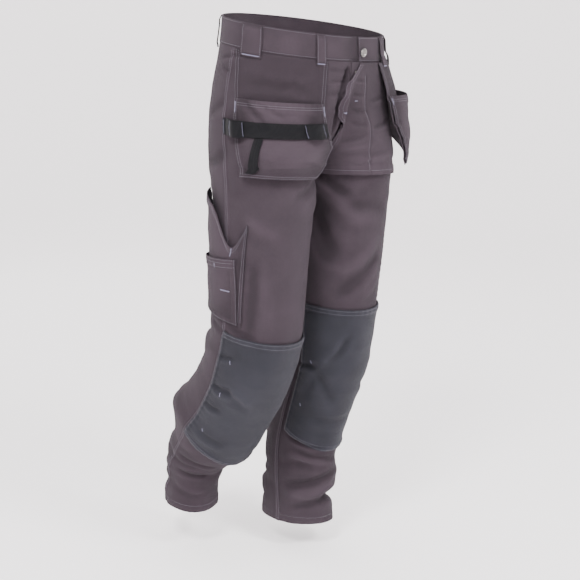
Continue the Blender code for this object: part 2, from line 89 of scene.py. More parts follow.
BODY_RINGS = [
    Ring(-0.040, 0.000, 0.000, 0.040, 0.172, 0.134, 0, 9),
    Ring(0.000, 0.000, 0.000, 0.000, 0.174, 0.136, 0, 9),
    Ring(0.055, 0.006, 0.004, -0.055, 0.175, 0.141, 0, 7),
    Ring(0.100, 0.024, 0.009, -0.100, 0.163, 0.141, 0, 5),
    Ring(0.150, 0.054, 0.013, -0.150, 0.137, 0.135, 0, 3),
    Ring(0.200, 0.082, 0.010, -0.200, 0.112, 0.128, 0, 1),
    Ring(CROTCH, 0.098, 0.006, -0.237, 0.098, 0.121, 0, 0),
]
LEG_RINGS = {
    "right": [
        Ring(0.300, 0.100, 0.004, -0.300, 0.094, 0.112, 0, 0),
        Ring(0.400, 0.105, 0.005, -0.400, 0.090, 0.104, 0, 2),
        Ring(0.500, 0.109, 0.008, -0.500, 0.087, 0.101, 0, 6),
        Ring(0.581, 0.111, 0.018, -0.580, 0.085, 0.102, 0, 13),
        Ring(0.667, 0.112, 0.050, -0.660, 0.082, 0.101, 0, 25),
        Ring(0.752, 0.110, 0.098, -0.730, 0.080, 0.098, 0, 35),
        Ring(0.831, 0.108, 0.150, -0.790, 0.080, 0.103, 0, 37),
        Ring(0.884, 0.107, 0.185, -0.830, 0.074, 0.096, 4, 34),
        Ring(0.929, 0.106, 0.212, -0.866, 0.066, 0.080, 8, 28),
        Ring(0.970, 0.104, 0.235, -0.900, 0.060, 0.075, 14, 20),
        Ring(1.024, 0.102, 0.255, -0.950, 0.057, 0.076, 22, 10),
        Ring(1.085, 0.100, 0.263, -1.010, 0.056, 0.081, 30, 3),
    ],
    "left": [
        Ring(0.300, 0.100, 0.003, -0.300, 0.095, 0.112, 0, 0),
        Ring(0.400, 0.100, 0.010, -0.400, 0.092, 0.104, 0, 2),
        Ring(0.500, 0.100, 0.019, -0.500, 0.088, 0.099, 0, 5),
        Ring(0.580, 0.100, 0.027, -0.580, 0.084, 0.097, 0, 8),
        Ring(0.661, 0.099, 0.040, -0.660, 0.078, 0.094, 0, 14),
        Ring(0.736, 0.097, 0.066, -0.730, 0.072, 0.091, 0, 19),
        Ring(0.811, 0.093, 0.092, -0.800, 0.067, 0.090, 0, 16),
        Ring(0.872, 0.089, 0.106, -0.860, 0.065, 0.088, 0, 10),
        Ring(0.932, 0.086, 0.113, -0.920, 0.064, 0.086, 4, 5),
        Ring(0.992, 0.083, 0.115, -0.980, 0.062, 0.084, 9, 2),
        Ring(1.060, 0.080, 0.114, -1.048, 0.062, 0.086, 14, 0),
    ],
}

# The largest folds: middle, reach down and round, slant down for each whole turn, height out
Fold = namedtuple("Fold", "down turn reach_down reach_turn slant height")
FOLDS = {
    "right": [
        Fold(0.275, 0.16, 0.016, 0.11, 0.30, -0.005),
        Fold(0.300, 0.80, 0.020, 0.14, -0.10, -0.007),
        Fold(0.330, 0.84, 0.018, 0.12, -0.16, 0.004),
        Fold(0.610, 0.77, 0.018, 0.15, 0.10, -0.009),
        Fold(0.645, 0.76, 0.016, 0.15, 0.04, 0.007),
        Fold(0.685, 0.75, 0.018, 0.14, -0.06, -0.008),
        Fold(0.845, 0.66, 0.024, 0.17, 0.08, 0.012),
        Fold(0.905, 0.62, 0.017, 0.20, 0.14, -0.008),
        Fold(0.948, 0.72, 0.014, 0.15, -0.12, 0.006),
        Fold(0.985, 0.30, 0.014, 0.16, 0.12, -0.006),
        Fold(1.030, 0.50, 0.012, 0.16, 0.10, -0.006),
    ],
    "left": [
        Fold(0.275, 0.14, 0.016, 0.10, 0.30, -0.004),
        Fold(0.300, 0.80, 0.020, 0.14, -0.10, -0.006),
        Fold(0.640, 0.77, 0.018, 0.15, 0.08, -0.006),
        Fold(0.690, 0.75, 0.018, 0.14, -0.05, 0.005),
        Fold(0.905, 0.13, 0.012, 0.13, -0.12, -0.006),
        Fold(0.940, 0.36, 0.018, 0.14, 0.10, 0.007),
        Fold(1.000, 0.39, 0.012, 0.13, 0.05, -0.017),
        Fold(1.010, 0.20, 0.012, 0.13, -0.18, -0.008),
        Fold(0.960, 0.80, 0.014, 0.16, 0.10, -0.006),
        Fold(1.005, 0.74, 0.014, 0.15, -0.10, 0.006),
    ],
}

# The finer creases: from one place to another, bowed down in metres, half width and height
Crease = namedtuple("Crease", "down turn down_end turn_end bow width height")
CREASES = {
    "right": [
        Crease(0.036, 0.40, 0.050, 0.58, -0.004, 0.004, -0.0022),
        Crease(0.068, 0.47, 0.062, 0.56, 0.000, 0.003, -0.0028),
        Crease(0.042, 0.105, 0.039, -0.02, 0.002, 0.0035, -0.0016),
        Crease(0.068, 0.105, 0.066, -0.02, -0.002, 0.0040, -0.0022),
        Crease(0.089, 0.105, 0.087, -0.02, 0.002, 0.0040, -0.0018),
        Crease(0.126, 0.095, 0.110, -0.01, 0.002, 0.0050, -0.0016),
        Crease(0.030, 0.002, 0.092, 0.034, 0.000, 0.0050, -0.0105),
        Crease(0.076, 0.034, 0.190, 0.034, -0.002, 0.0050, -0.0105),
        Crease(0.055, 0.42, 0.066, 0.12, 0.006, 0.009, 0.0022),
        Crease(0.088, 0.43, 0.094, 0.14, -0.006, 0.008, -0.0024),
        Crease(0.052, 0.16, 0.100, 0.30, 0.004, 0.006, -0.0016),
        Crease(0.108, 0.40, 0.168, 0.300, -0.004, 0.006, -0.0034),
        Crease(0.112, 0.35, 0.150, 0.240, -0.002, 0.005, -0.0022),
        Crease(0.128, 0.13, 0.190, 0.26, 0.006, 0.008, -0.0026),
        Crease(0.200, 0.40, 0.225, 0.16, 0.004, 0.009, 0.0022),
        Crease(0.110, 0.48, 0.150, 0.62, 0.006, 0.010, -0.0026),
        Crease(0.205, 0.46, 0.240, 0.62, 0.006, 0.010, -0.0030),
        Crease(0.245, 0.03, 0.300, 0.30, 0.010, 0.010, -0.0026),
        Crease(0.262, 0.02, 0.345, 0.22, 0.008, 0.009, 0.0020),
        Crease(0.330, 0.44, 0.372, 0.30, 0.006, 0.012, 0.0026),
        Crease(0.405, 0.388, 0.575, 0.400, 0.000, 0.011, -0.0036),
        Crease(0.430, 0.345, 0.560, 0.330, 0.000, 0.012, 0.0016),
        Crease(0.545, 0.49, 0.560, 0.36, 0.004, 0.006, -0.0034),
        Crease(0.552, 0.58, 0.566, 0.47, 0.004, 0.006, -0.0030),
        Crease(0.619, 0.498, 0.604, 0.425, 0.000, 0.005, -0.0036),
        Crease(0.685, 0.492, 0.671, 0.395, 0.003, 0.007, -0.0056),
        Crease(0.668, 0.430, 0.690, 0.320, -0.004, 0.008, 0.0034),
        Crease(0.735, 0.490, 0.722, 0.410, 0.004, 0.006, -0.0034),
        Crease(0.800, 0.480, 0.790, 0.330, 0.010, 0.010, -0.0026),
        Crease(0.870, 0.36, 0.905, 0.75, 0.010, 0.012, 0.0034),
        Crease(0.905, 0.25, 0.930, 0.50, 0.008, 0.008, -0.0036),
        Crease(0.930, 0.28, 0.950, 0.62, 0.012, 0.009, -0.0030),
        Crease(0.978, 0.46, 0.965, 0.22, 0.006, 0.008, -0.0056),
        Crease(0.995, 0.42, 1.005, 0.66, -0.008, 0.008, 0.0030),
        Crease(1.022, 0.20, 1.012, 0.44, 0.006, 0.007, 0.0026),
        Crease(0.120, 0.96, 0.185, 0.68, 0.010, 0.014, -0.0026),
        Crease(0.236, 0.98, 0.290, 0.68, 0.012, 0.012, -0.0056),
        Crease(0.262, 0.98, 0.335, 0.64, 0.012, 0.012, 0.0036),
        Crease(0.430, 0.90, 0.520, 0.70, 0.006, 0.014, -0.0026),
        Crease(0.592, 0.60, 0.610, 0.95, 0.006, 0.009, -0.0066),
        Crease(0.632, 0.58, 0.626, 0.96, -0.006, 0.010, 0.0056),
        Crease(0.664, 0.56, 0.656, 0.93, 0.006, 0.008, -0.0068),
        Crease(0.702, 0.60, 0.690, 0.91, 0.004, 0.010, 0.0044),
        Crease(0.742, 0.66, 0.720, 0.93, 0.004, 0.009, -0.0040),
        Crease(0.830, 0.56, 0.846, 0.92, 0.008, 0.010, -0.0044),
        Crease(0.902, 0.58, 0.880, 0.93, 0.006, 0.010, 0.0040),
        Crease(0.936, 0.64, 0.950, 0.95, 0.006, 0.009, -0.0044),
        Crease(0.992, 0.66, 0.980, 0.93, 0.006, 0.009, -0.0034),
    ],
    "left": [
        Crease(0.060, 0.010, 0.064, 0.075, 0.001, 0.0035, -0.0014),
        Crease(0.088, 0.000, 0.094, 0.078, 0.002, 0.0040, -0.0018),
        Crease(0.108, 0.085, 0.098, 0.200, 0.002, 0.0050, -0.0018),
        Crease(0.122, 0.010, 0.130, 0.105, 0.003, 0.0045, -0.0020),
        Crease(0.150, 0.020, 0.160, 0.110, 0.002, 0.0045, -0.0018),
        Crease(0.166, 0.125, 0.150, 0.260, 0.004, 0.0060, -0.0024),
        Crease(0.196, 0.020, 0.176, 0.130, 0.004, 0.0060, -0.0026),
        Crease(0.214, 0.040, 0.204, 0.180, 0.004, 0.0070, 0.0022),
        Crease(0.228, 0.150, 0.212, 0.290, 0.004, 0.0060, -0.0020),
        Crease(0.245, 0.020, 0.310, 0.170, 0.008, 0.010, -0.0044),
        Crease(0.262, 0.020, 0.370, 0.230, 0.010, 0.014, 0.0034),
        Crease(0.300, 0.020, 0.450, 0.130, 0.010, 0.020, -0.0085),
        Crease(0.330, 0.120, 0.345, 0.330, -0.008, 0.014, -0.0026),
        Crease(0.470, 0.110, 0.390, 0.300, 0.008, 0.014, 0.0036),
        Crease(0.508, 0.120, 0.425, 0.310, 0.008, 0.011, -0.0044),
        Crease(0.520, 0.210, 0.470, 0.340, 0.004, 0.009, 0.0020),
        Crease(0.662, 0.088, 0.673, 0.004, -0.003, 0.006, -0.0042),
        Crease(0.662, 0.080, 0.585, 0.170, 0.006, 0.009, 0.0046),
        Crease(0.655, 0.095, 0.580, 0.210, 0.004, 0.007, -0.0038),
        Crease(0.664, 0.080, 0.735, 0.190, 0.000, 0.010, -0.0032),
        Crease(0.664, 0.070, 0.740, 0.040, 0.000, 0.009, 0.0024),
        Crease(0.700, 0.440, 0.690, 0.300, 0.006, 0.010, -0.0026),
        Crease(0.780, 0.100, 0.765, 0.360, 0.008, 0.012, -0.0022),
        Crease(0.845, 0.020, 0.852, 0.260, 0.006, 0.006, -0.0044),
        Crease(0.874, 0.050, 0.900, 0.380, 0.004, 0.008, -0.0052),
        Crease(0.890, 0.020, 0.895, 0.300, 0.004, 0.009, 0.0036),
        Crease(0.969, 0.000, 0.923, 0.330, 0.006, 0.010, -0.0078),
        Crease(0.990, 0.040, 0.950, 0.420, 0.008, 0.010, 0.0050),
        Crease(1.020, 0.020, 1.000, 0.340, -0.006, 0.008, -0.0034),
        Crease(0.110, 0.96, 0.170, 0.70, 0.010, 0.014, -0.0024),
        Crease(0.240, 0.98, 0.298, 0.66, 0.012, 0.012, -0.0052),
        Crease(0.268, 0.98, 0.342, 0.66, 0.012, 0.013, 0.0034),
        Crease(0.410, 0.92, 0.500, 0.68, 0.006, 0.014, -0.0024),
        Crease(0.604, 0.62, 0.622, 0.94, 0.006, 0.009, -0.0058),
        Crease(0.645, 0.60, 0.636, 0.95, -0.006, 0.010, 0.0050),
        Crease(0.680, 0.62, 0.668, 0.94, 0.006, 0.009, -0.0056),
        Crease(0.730, 0.58, 0.712, 0.88, 0.004, 0.010, 0.0036),
        Crease(0.820, 0.60, 0.838, 0.94, 0.008, 0.010, -0.0040),
        Crease(0.886, 0.56, 0.868, 0.90, 0.006, 0.010, 0.0044),
        Crease(0.925, 0.60, 0.938, 0.95, 0.006, 0.009, -0.0048),
        Crease(0.985, 0.60, 0.970, 0.92, 0.006, 0.009, 0.0040),
        Crease(1.015, 0.62, 1.005, 0.90, 0.004, 0.008, -0.0034),
    ],
}

# How loose the cloth hangs and how far round a whole turn is, by distance down
LOOSE = [(0.02, 0.1), (0.10, 0.5), (0.25, 0.8), (0.42, 0.5), (0.56, 0.6), (0.85, 1.0), (1.05, 1.2)]
GIRTH = [(-0.04, 0.49), (0.05, 0.50), (0.15, 0.60), (0.237, 0.69), (0.4, 0.61), (0.85, 0.56), (1.08, 0.44)]

# How far a hanging layer stands off the body, by distance down
Hang = namedtuple("Hang", "down standoff")
HANG = {
    "right": [Hang(0.02, 0.0), Hang(0.10, 0.003), Hang(0.18, 0.008), Hang(0.28, 0.012)],
    "left": [Hang(0.02, 0.0), Hang(0.10, 0.0145), Hang(0.18, 0.021), Hang(0.28, 0.025)],
}
POUCH_DEPTH = {"right": 0.013, "left": 0.019}
POUCH_MOUTH = {"right": 0.108, "left": 0.094}

# An outline's row: where it starts and where it ends, each as distance down and turn
Row = namedtuple("Row", "down_start turn_start down_end turn_end")
HOLSTER_ROWS = {
    "right": [
        Row(0.025, 0.096, 0.025, 0.465),
        Row(0.110, 0.109, 0.110, 0.435),
        Row(0.165, 0.098, 0.165, 0.432),
        Row(0.205, 0.080, 0.205, 0.432),
        Row(0.232, 0.135, 0.232, 0.433),
        Row(0.264, 0.215, 0.256, 0.433),
    ],
    "left": [
        Row(0.025, 0.148, 0.025, 0.470),
        Row(0.100, 0.165, 0.100, 0.462),
        Row(0.150, 0.205, 0.135, 0.460),
        Row(0.200, 0.270, 0.170, 0.458),
        Row(0.252, 0.335, 0.200, 0.455),
    ],
}
APRON_ROWS = [
    Row(0.025, 0.042, 0.025, 0.260),
    Row(0.070, -0.018, 0.070, 0.265),
    Row(0.130, -0.038, 0.130, 0.275),
    Row(0.190, 0.002, 0.190, 0.290),
    Row(0.264, 0.022, 0.268, 0.330),
]
APRON_GAPE = 0.007
APRON_SEAT = 0.0024
APRON_HEM_OUT = 0.003
CARGO_ROWS = {
    "right": [
        Row(0.325, 0.415, 0.290, 0.640),
        Row(0.400, 0.420, 0.400, 0.645),
        Row(0.480, 0.425, 0.480, 0.645),
        Row(0.545, 0.425, 0.540, 0.640),
    ],
    "left": [
        Row(0.325, 0.400, 0.290, 0.620),
        Row(0.400, 0.405, 0.400, 0.625),
        Row(0.480, 0.410, 0.480, 0.625),
        Row(0.545, 0.410, 0.540, 0.620),
    ],
}
CARGO_MOUTH_DIP = 0.075
CARGO_MOUTH_TURN = 0.22
CARGO_DEPTH = 0.012
CARGO_FULL = 0.36
RULER_ROWS = {
    "right": [Row(0.415, 0.448, 0.422, 0.634), Row(0.541, 0.436, 0.536, 0.634)],
    "left": [Row(0.415, 0.432, 0.422, 0.614), Row(0.541, 0.420, 0.536, 0.614)],
}
RULER_DEPTH = 0.0035
KNEE_ROWS = {
    "right": [
        Row(0.568, 0.020, 0.562, 0.492),
        Row(0.710, 0.018, 0.710, 0.492),
        Row(0.836, 0.018, 0.846, 0.490),
    ],
    "left": [
        Row(0.534, 0.020, 0.540, 0.492),
        Row(0.694, 0.018, 0.694, 0.492),
        Row(0.838, 0.018, 0.842, 0.490),
    ],
}
KNEE_BOW = 0.026

# Belt loops: side, turn at the middle, width in plain loops, and what the tail lies over
Loop = namedtuple("Loop", "name side turn widths tail_height")
LOOPS = [
    Loop("belt_loop_right_side", "right", 0.391, 2.7, 0.0033),
    Loop("belt_loop_right_front", "right", 0.122, 1.0, 0.0033),
    Loop("belt_loop_left_front", "left", 0.195, 1.0, 0.0095),
    Loop("belt_loop_left_side", "left", 0.345, 1.0, 0.0095),
    Loop("belt_loop_right_back", "right", 0.690, 1.0, 0.0012),
    Loop("belt_loop_left_back", "left", 0.690, 1.0, 0.0012),
    Loop("belt_loop_centre_back", "right", 1.000, 1.0, 0.0012),
]

# The camera stands where the photo was taken from
CAMERA_AZIMUTH = 40.0
CAMERA_DISTANCE = 2.6
CAMERA_SIDE = -0.027
CAMERA_HEIGHT = 0.024
CAMERA_DIP = 11.52
CAMERA_LENS = 80.6
FLOOR = -1.10


class PantsSizes(bpy.types.PropertyGroup):
    """Sizes of the sewing and the weave."""

    stitch_length: FloatProperty(
        name="Stitch length",
        description="Length of one topstitch",
        default=0.0030,
        min=0.001,
        subtype="DISTANCE",
        unit="LENGTH",
    )
    stitch_gap: FloatProperty(
        name="Stitch gap",
        description="Cloth that shows between two topstitches",
        default=0.0010,
        min=0.0002,
        subtype="DISTANCE",
        unit="LENGTH",
    )
    thread_width: FloatProperty(
        name="Thread width",
        description="Width of the sewing thread",
        default=0.0008,
        min=0.0002,
        subtype="DISTANCE",
        unit="LENGTH",
    )
    twill_pitch: FloatProperty(
        name="Twill pitch",
        description="Distance between two diagonal lines of the twill",
        default=0.0011,
        min=0.0003,
        subtype="DISTANCE",
        unit="LENGTH",
    )
    seam_rise: FloatProperty(
        name="Seam rise",
        description="How far a folded seam stands above the cloth",
        default=0.0015,
        min=0.0,
        subtype="DISTANCE",
        unit="LENGTH",
    )
    looseness: FloatProperty(
        name="Looseness",
        description="How deep the soft waves between the large folds are",
        default=0.0032,
        min=0.0,
        subtype="DISTANCE",
        unit="LENGTH",
    )


class PantsColours(bpy.types.PropertyGroup):
    """Colours of the cloths, thread and metal."""

    twill: FloatVectorProperty(
        name="Twill", description="Main grey cloth", default=(0.034, 0.0255, 0.032), min=0, max=1, subtype="COLOR"
    )
    pad: FloatVectorProperty(
        name="Knee cloth", description="Slate knee pouches", default=(0.0195, 0.0195, 0.0255), min=0, max=1, subtype="COLOR"
    )
    webbing: FloatVectorProperty(
        name="Webbing", description="Black tool band", default=(0.004, 0.004, 0.005), min=0, max=1, subtype="COLOR"
    )
    thread: FloatVectorProperty(
        name="Thread", description="Topstitching thread", default=(0.074, 0.064, 0.088), min=0, max=1, subtype="COLOR"
    )
    tack: FloatVectorProperty(
        name="Tack thread", description="Pale bar tacks", default=(0.150, 0.142, 0.225), min=0, max=1, subtype="COLOR"
    )
    metal: FloatVectorProperty(
        name="Metal", description="Button and zip", default=(0.19, 0.18, 0.175), min=0, max=1, subtype="COLOR"
    )


def sizes():
    return bpy.context.scene.pants_sizes


def colours():
    return bpy.context.scene.pants_colours


# Curves and smooth numbers


def between(points, at, rounded=True):
    """The height at each `at` of a curve through (place, height) points in rising order."""
    places, heights = np.array(points, float).T
    at = np.clip(at, places[0], places[-1])
    if not rounded:
        return np.interp(at, places, heights)
    last = len(places) - 1
    order = np.arange(last + 1)
    low, high = np.maximum(order - 1, 0), np.minimum(order + 1, last)
    slopes = (heights[high] - heights[low]) / (places[high] - places[low])
    i = np.clip(np.searchsorted(places, at, side="right") - 1, 0, last - 1)
    step = places[i + 1] - places[i]
    t = (at - places[i]) / step
    return (
        (2 * t**3 - 3 * t**2 + 1) * heights[i]
        + (t**3 - 2 * t**2 + t) * step * slopes[i]
        + (3 * t**2 - 2 * t**3) * heights[i + 1]
        + (t**3 - t**2) * step * slopes[i + 1]
    )


def limited(values):
    return np.clip(values, 0.0, 1.0)


def eased(values):
    t = limited(values)
    return t * t * (3 - 2 * t)


def bell(values):
    return np.exp(-np.square(values))


def soft_noise(a, b, seed):
    """Smooth uneven heights from -1 to 1, with one knot at each whole number of `a` and `b`."""
    knots = np.random.RandomState(seed).uniform(-1, 1, (64, 64))
    i, j = np.floor(a).astype(int), np.floor(b).astype(int)
    p, q = eased(a - i), eased(b - j)
    near = knots[i % 64, j % 64] * (1 - p) + knots[(i + 1) % 64, j % 64] * p
    far = knots[i % 64, (j + 1) % 64] * (1 - p) + knots[(i + 1) % 64, (j + 1) % 64] * p
    return near * (1 - q) + far * q


# The surface that every piece of cloth lies on


def other(side):
    return "left" if side == "right" else "right"


def girth(down):
    return between(GIRTH, down)


def fold_height(side, down, turn):
    total = np.zeros_like(down)
    for fold in FOLDS[side]:
        away = (down - fold.down - fold.slant * (turn - fold.turn)) / fold.reach_down
        total += fold.height * bell(away) * bell((turn - fold.turn) / fold.reach_turn)
    return total


def crease_height(side, down, turn):
    """Soft troughs and ridges, each with a shallow return on its lower side."""
    total = np.zeros_like(down)
    for crease in CREASES[side]:
        round_one = girth(np.array((crease.down + crease.down_end) / 2))
        run_down = crease.down_end - crease.down
        run_round = (crease.turn_end - crease.turn) * round_one
        length = math.hypot(run_down, run_round)
        from_down = down - crease.down
        from_round = (turn - crease.turn) * round_one
        t = (from_down * run_down + from_round * run_round) / length**2
        away = (from_down * run_round - from_round * run_down) / length
        away = away * (1 if run_round >= 0 else -1) - crease.bow * 4 * t * (1 - t)
        ends = eased(t / 0.3) * eased((1 - t) / 0.3)
        wave = bell(away / crease.width) - 0.4 * bell((away - 1.7 * crease.width) / crease.width)
        total += crease.height * wave * ends
    return total


def softness(side, down, turn):
    """Low uneven waves, and finer ones where the cloth is loose. None at the seams."""
    seed = 11 if side == "right" else 23
    across = turn * girth(down)
    loose = between(LOOSE, down, rounded=False)
    wide = soft_noise(down / 0.090 + 5, across / 0.060, seed)
    fine = 1 - 2 * np.abs(soft_noise(down / 0.030, across / 0.055 + 3, seed + 1))
    small = soft_noise(down / 0.013 + 9, across / 0.024, seed + 2)
    still = eased(np.minimum(turn, 1 - turn) / 0.05) * eased((down - 0.025) / 0.06)
    return sizes().looseness * still * (loose * (0.62 * wide + 0.30 * fine) + 0.10 * small)


def seam_relief(side, down, turn):
    """Folded seams at the side and inseam, with the small puckers that the stitching pulls."""
    total = np.zeros_like(down)
    for seam in (0.0, 0.5, 1.0):
        if seam != 0.5:
            live = eased((down - CROTCH) / 0.01)
        else:
            live = eased((down - WAIST_SEAM) / 0.01)
        away = np.abs(turn - seam) * girth(down)
        phase = soft_noise(down / 0.05, down * 0 + seam % 1 * 7, 41) * 2.5
        pucker = 0.00030 * np.sin(down / 0.0019 + phase) * bell(away / 0.010)
        folded = sizes().seam_rise * (1 - eased((away - 0.0090) / 0.0016)) * eased(away / 0.0018)
        on_front = turn <= 0.5 if seam == 0.5 else turn >= 0.5
        total += live * (pucker + folded * on_front - 0.0004 * bell(away / 0.0012))
    return total


def relief(side, down, turn):
    """All folds and creases. They run out at the inseam and the centre lines, where two panels join."""
    joined = eased(np.minimum(turn, 1 - turn) / 0.016)
    height = fold_height(side, down, turn) + crease_height(side, down, turn)
    return height * joined + softness(side, down, turn)


def half_surface(side, down, turn, lift):
    rings = BODY_RINGS + LEG_RINGS[side]
    x, y, z, wide, deep, twist, pitch = (
        between([(ring.down, ring[k]) for ring in rings], down) for k in range(1, 8)
    )
    half_turn = np.pi - np.arccos(np.clip(x / wide, -1, 1))
    half_turn = np.where(down >= CROTCH, np.pi, half_turn)
    angle = (2 * turn - 1) * half_turn
    out_across, out_along = np.cos(angle) / wide, np.sin(angle) / deep
    size = np.hypot(out_across, out_along)
    lift = lift + relief(side, down, turn)
    across = wide * np.cos(angle) + lift * out_across / size
    along = deep * np.sin(angle) + lift * out_along / size
    twist = -np.radians(twist)
    across, along = (
        across * np.cos(twist) + along * np.sin(twist),
        along * np.cos(twist) - across * np.sin(twist),
    )
    pitch = np.radians(pitch)
    place_x = (-1 if side == "right" else 1) * (x + across + MIDDLE_GAP)
    place_z = z + along * np.sin(pitch) + SIDE_LEAN * place_x * (1 - limited(down / LEAN_ENDS))
    return np.stack([place_x, y + along * np.cos(pitch), place_z], axis=-1)


def surface(side, down, turn, lift=0.0):
    """Points `lift` out from the cloth. A turn below 0 or past 1 goes on round the other side."""
    down, turn, lift = np.broadcast_arrays(*(np.asarray(v, float) for v in (down, turn, lift)))
    here = half_surface(side, down, np.where(turn > 2, turn - 2, turn), lift)
    past = ((turn > 1) & (turn <= 2)) | (turn < 0)
    if not past.any():
        return here
    there = half_surface(other(side), down, np.where(turn < 0, -turn, 2 - turn), lift)
    return np.where(past[..., None], there, here)


# Pieces of cloth

Patch = namedtuple("Patch", "side spot height")


def outline(rows, rounded=False):
    """A spot that runs from the first row to the last, and from each row's start to its end."""
    steps = np.linspace(0, 1, len(rows))

    def spot(along, across):
        ends = [between(list(zip(steps, column)), along, rounded) for column in zip(*rows)]
        down = ends[0] + (ends[2] - ends[0]) * across
        return down, ends[1] + (ends[3] - ends[1]) * across

    return spot


def flat(height):
    return lambda down, turn, along, across: np.full_like(down, height)


def points_on(patch, along, across, lift=0.0):
    along, across = np.broadcast_arrays(np.asarray(along, float), np.asarray(across, float))
    down, turn = patch.spot(along, across)
    return surface(patch.side, down, turn, patch.height(down, turn, along, across) + lift)


def lengths(points, axis):
    """Running lengths of rows of points along one axis of the grid."""
    steps = np.linalg.norm(np.diff(points, axis=axis), axis=-1)
    start = np.zeros_like(np.take(steps, [0], axis=axis))
    return np.concatenate([start, np.cumsum(steps, axis=axis)], axis=axis)


def measured(patch):
    """Length and width of a piece along its middle lines."""
    t = np.linspace(0, 1, 60)
    long = lengths(points_on(patch, t[:, None], np.array([[0.5]])), 0)[-1, 0]
    wide = lengths(points_on(patch, np.array([[0.5]]), t[None, :]), 1)[0, -1]
    return float(long), float(wide)


def spaced(size, step, edge=0.010, fine=0.0012):
    """Places from 0 to 1 across `size` metres: close together at both edges and wider between."""
    edge = min(edge, size * 0.3)
    close = max(2, round(edge / fine))
    middle = max(2, round((size - 2 * edge) / step))
    first = np.linspace(0, edge / size, close + 1)[:-1]
    between_edges = np.linspace(edge / size, 1 - edge / size, middle + 1)[:-1]
    last = np.linspace(1 - edge / size, 1, close + 1)
    return np.concatenate([first, between_edges, last])


def folded_edges(size, top=0.0, bottom=0.0, start=0.0, end=0.0, rise=0.0015, lines=(0.0020,)):
    """How far hems of these widths stand up along a piece's edges, dented along their stitch lines."""
    long, wide = size

    def height(along, across):
        total = np.zeros_like(along)
        gaps = [(top, along * long), (bottom, (1 - along) * long), (start, across * wide), (end, (1 - across) * wide)]
        for width, gap in gaps:
            if width:
                total = np.maximum(total, rise * (1 - eased((gap - width) / 0.0015)))
        for width, gap in gaps:
            if width:
                for line in (*lines, width - 0.0018):
                    total = total - 0.00035 * bell((gap - line) / 0.0010)
                total = total - 0.0006 * bell(gap / 0.0012)
        return total

    return height


def puckered(size, edges, amount=0.00035, pitch=0.012):
    """Small puckers that the stitching pulls along the named edges."""
    long, wide = size

    def height(along, across):
        total = np.zeros_like(along)
        gaps = {
            "top": (along * long, across * wide),
            "bottom": ((1 - along) * long, across * wide),
            "start": (across * wide, along * long),
            "end": ((1 - across) * wide, along * long),
        }
        for k, edge in enumerate(edges):
            gap, run = gaps[edge]
            phase = 2.5 * soft_noise(run / 0.03, run * 0 + k, 57)
            total += amount * np.sin(2 * np.pi * run / pitch + phase) * bell(gap / 0.014)
        return total

    return height


def cloth_piece(name, patch, step, finish, nodes, thickness=CLOTH):
    """Builds one piece: its grid, its place on the surface, its weave map and its thickness."""
    size = measured(patch)
    rows, columns = spaced(size[0], step), spaced(size[1], step)
    bm = bmesh.new()
    bmesh.ops.create_grid(bm, x_segments=len(rows) - 1, y_segments=len(columns) - 1, size=0.5)
    mesh = bpy.data.meshes.new(name)
    bm.to_mesh(mesh)
    bm.free()
    count = len(mesh.vertices)
    corners = np.empty(count * 3, np.float32)
    mesh.vertices.foreach_get("co", corners)
    i = np.rint((corners[0::3] + 0.5) * (len(rows) - 1)).astype(int)
    j = np.rint((corners[1::3] + 0.5) * (len(columns) - 1)).astype(int)
    grid = points_on(patch, rows[:, None], columns[None, :])
    mesh.vertices.foreach_set("co", grid[i, j].astype(np.float32).ravel())
    mesh.update()
    middle = Vector(points_on(patch, 0.5, 0.5))
    outwards = Vector(points_on(patch, 0.5, 0.5, 0.005)) - middle
    nearest = min(mesh.polygons, key=lambda face: (face.center - middle).length_squared)
    if nearest.normal.dot(outwards) < 0:
        mesh.flip_normals()
    lay_weave(mesh, grid, i, j)
    mark_relief(mesh, patch, rows, columns, i, j)
    mesh.shade_smooth()
    mesh.materials.append(finish)
    obj = bpy.data.objects.new(name, mesh)
    bpy.context.scene.collection.objects.link(obj)
    wall = obj.modifiers.new("Wall", "SOLIDIFY")
    wall.thickness = thickness
    wall.offset = -1.0
    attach(obj, "root")
    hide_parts(*nodes)
    return obj


def lay_weave(mesh, grid, i, j):
    """A UV map in metres: along the cloth's width and down its grain line."""
    across = lengths(grid, 1)
    across = across - across[:, [across.shape[1] // 2]]
    down = lengths(grid, 0)[:, [grid.shape[1] // 2]] + np.zeros_like(across)
    places = np.stack([across[i, j], -down[i, j]], axis=-1)
    loops = np.empty(len(mesh.loops), np.int32)
    mesh.loops.foreach_get("vertex_index", loops)
    layer = mesh.uv_layers.new(name="weave")
    layer.data.foreach_set("uv", places[loops].astype(np.float32).ravel())


def mark_relief(mesh, patch, rows, columns, i, j):
    """An attribute from 0 in the troughs to 1 on the ridges, for wear and dust."""
    down, turn = patch.spot(*np.broadcast_arrays(rows[:, None], columns[None, :]))
    height = patch.height(down, turn, *np.broadcast_arrays(rows[:, None], columns[None, :]))
    side_turn = np.where(turn > 1, np.abs(2 - turn), turn)
    height = height - np.median(height) + crease_height(patch.side, down, side_turn)
    values = limited(0.5 + height / 0.006)
    attribute = mesh.attributes.new("wear_and_shade", "FLOAT", "POINT")
    attribute.data.foreach_set("value", values[i, j].astype(np.float32))


# The pieces' own forms


def hang_of(side, down):
    return between([(row.down, row.standoff) for row in HANG[side]], down)


def holster_lift(side, down):
    under = LAYER_GAP if side == "right" else APRON_SEAT + CLOTH + LAYER_GAP
    return under + hang_of(side, down)


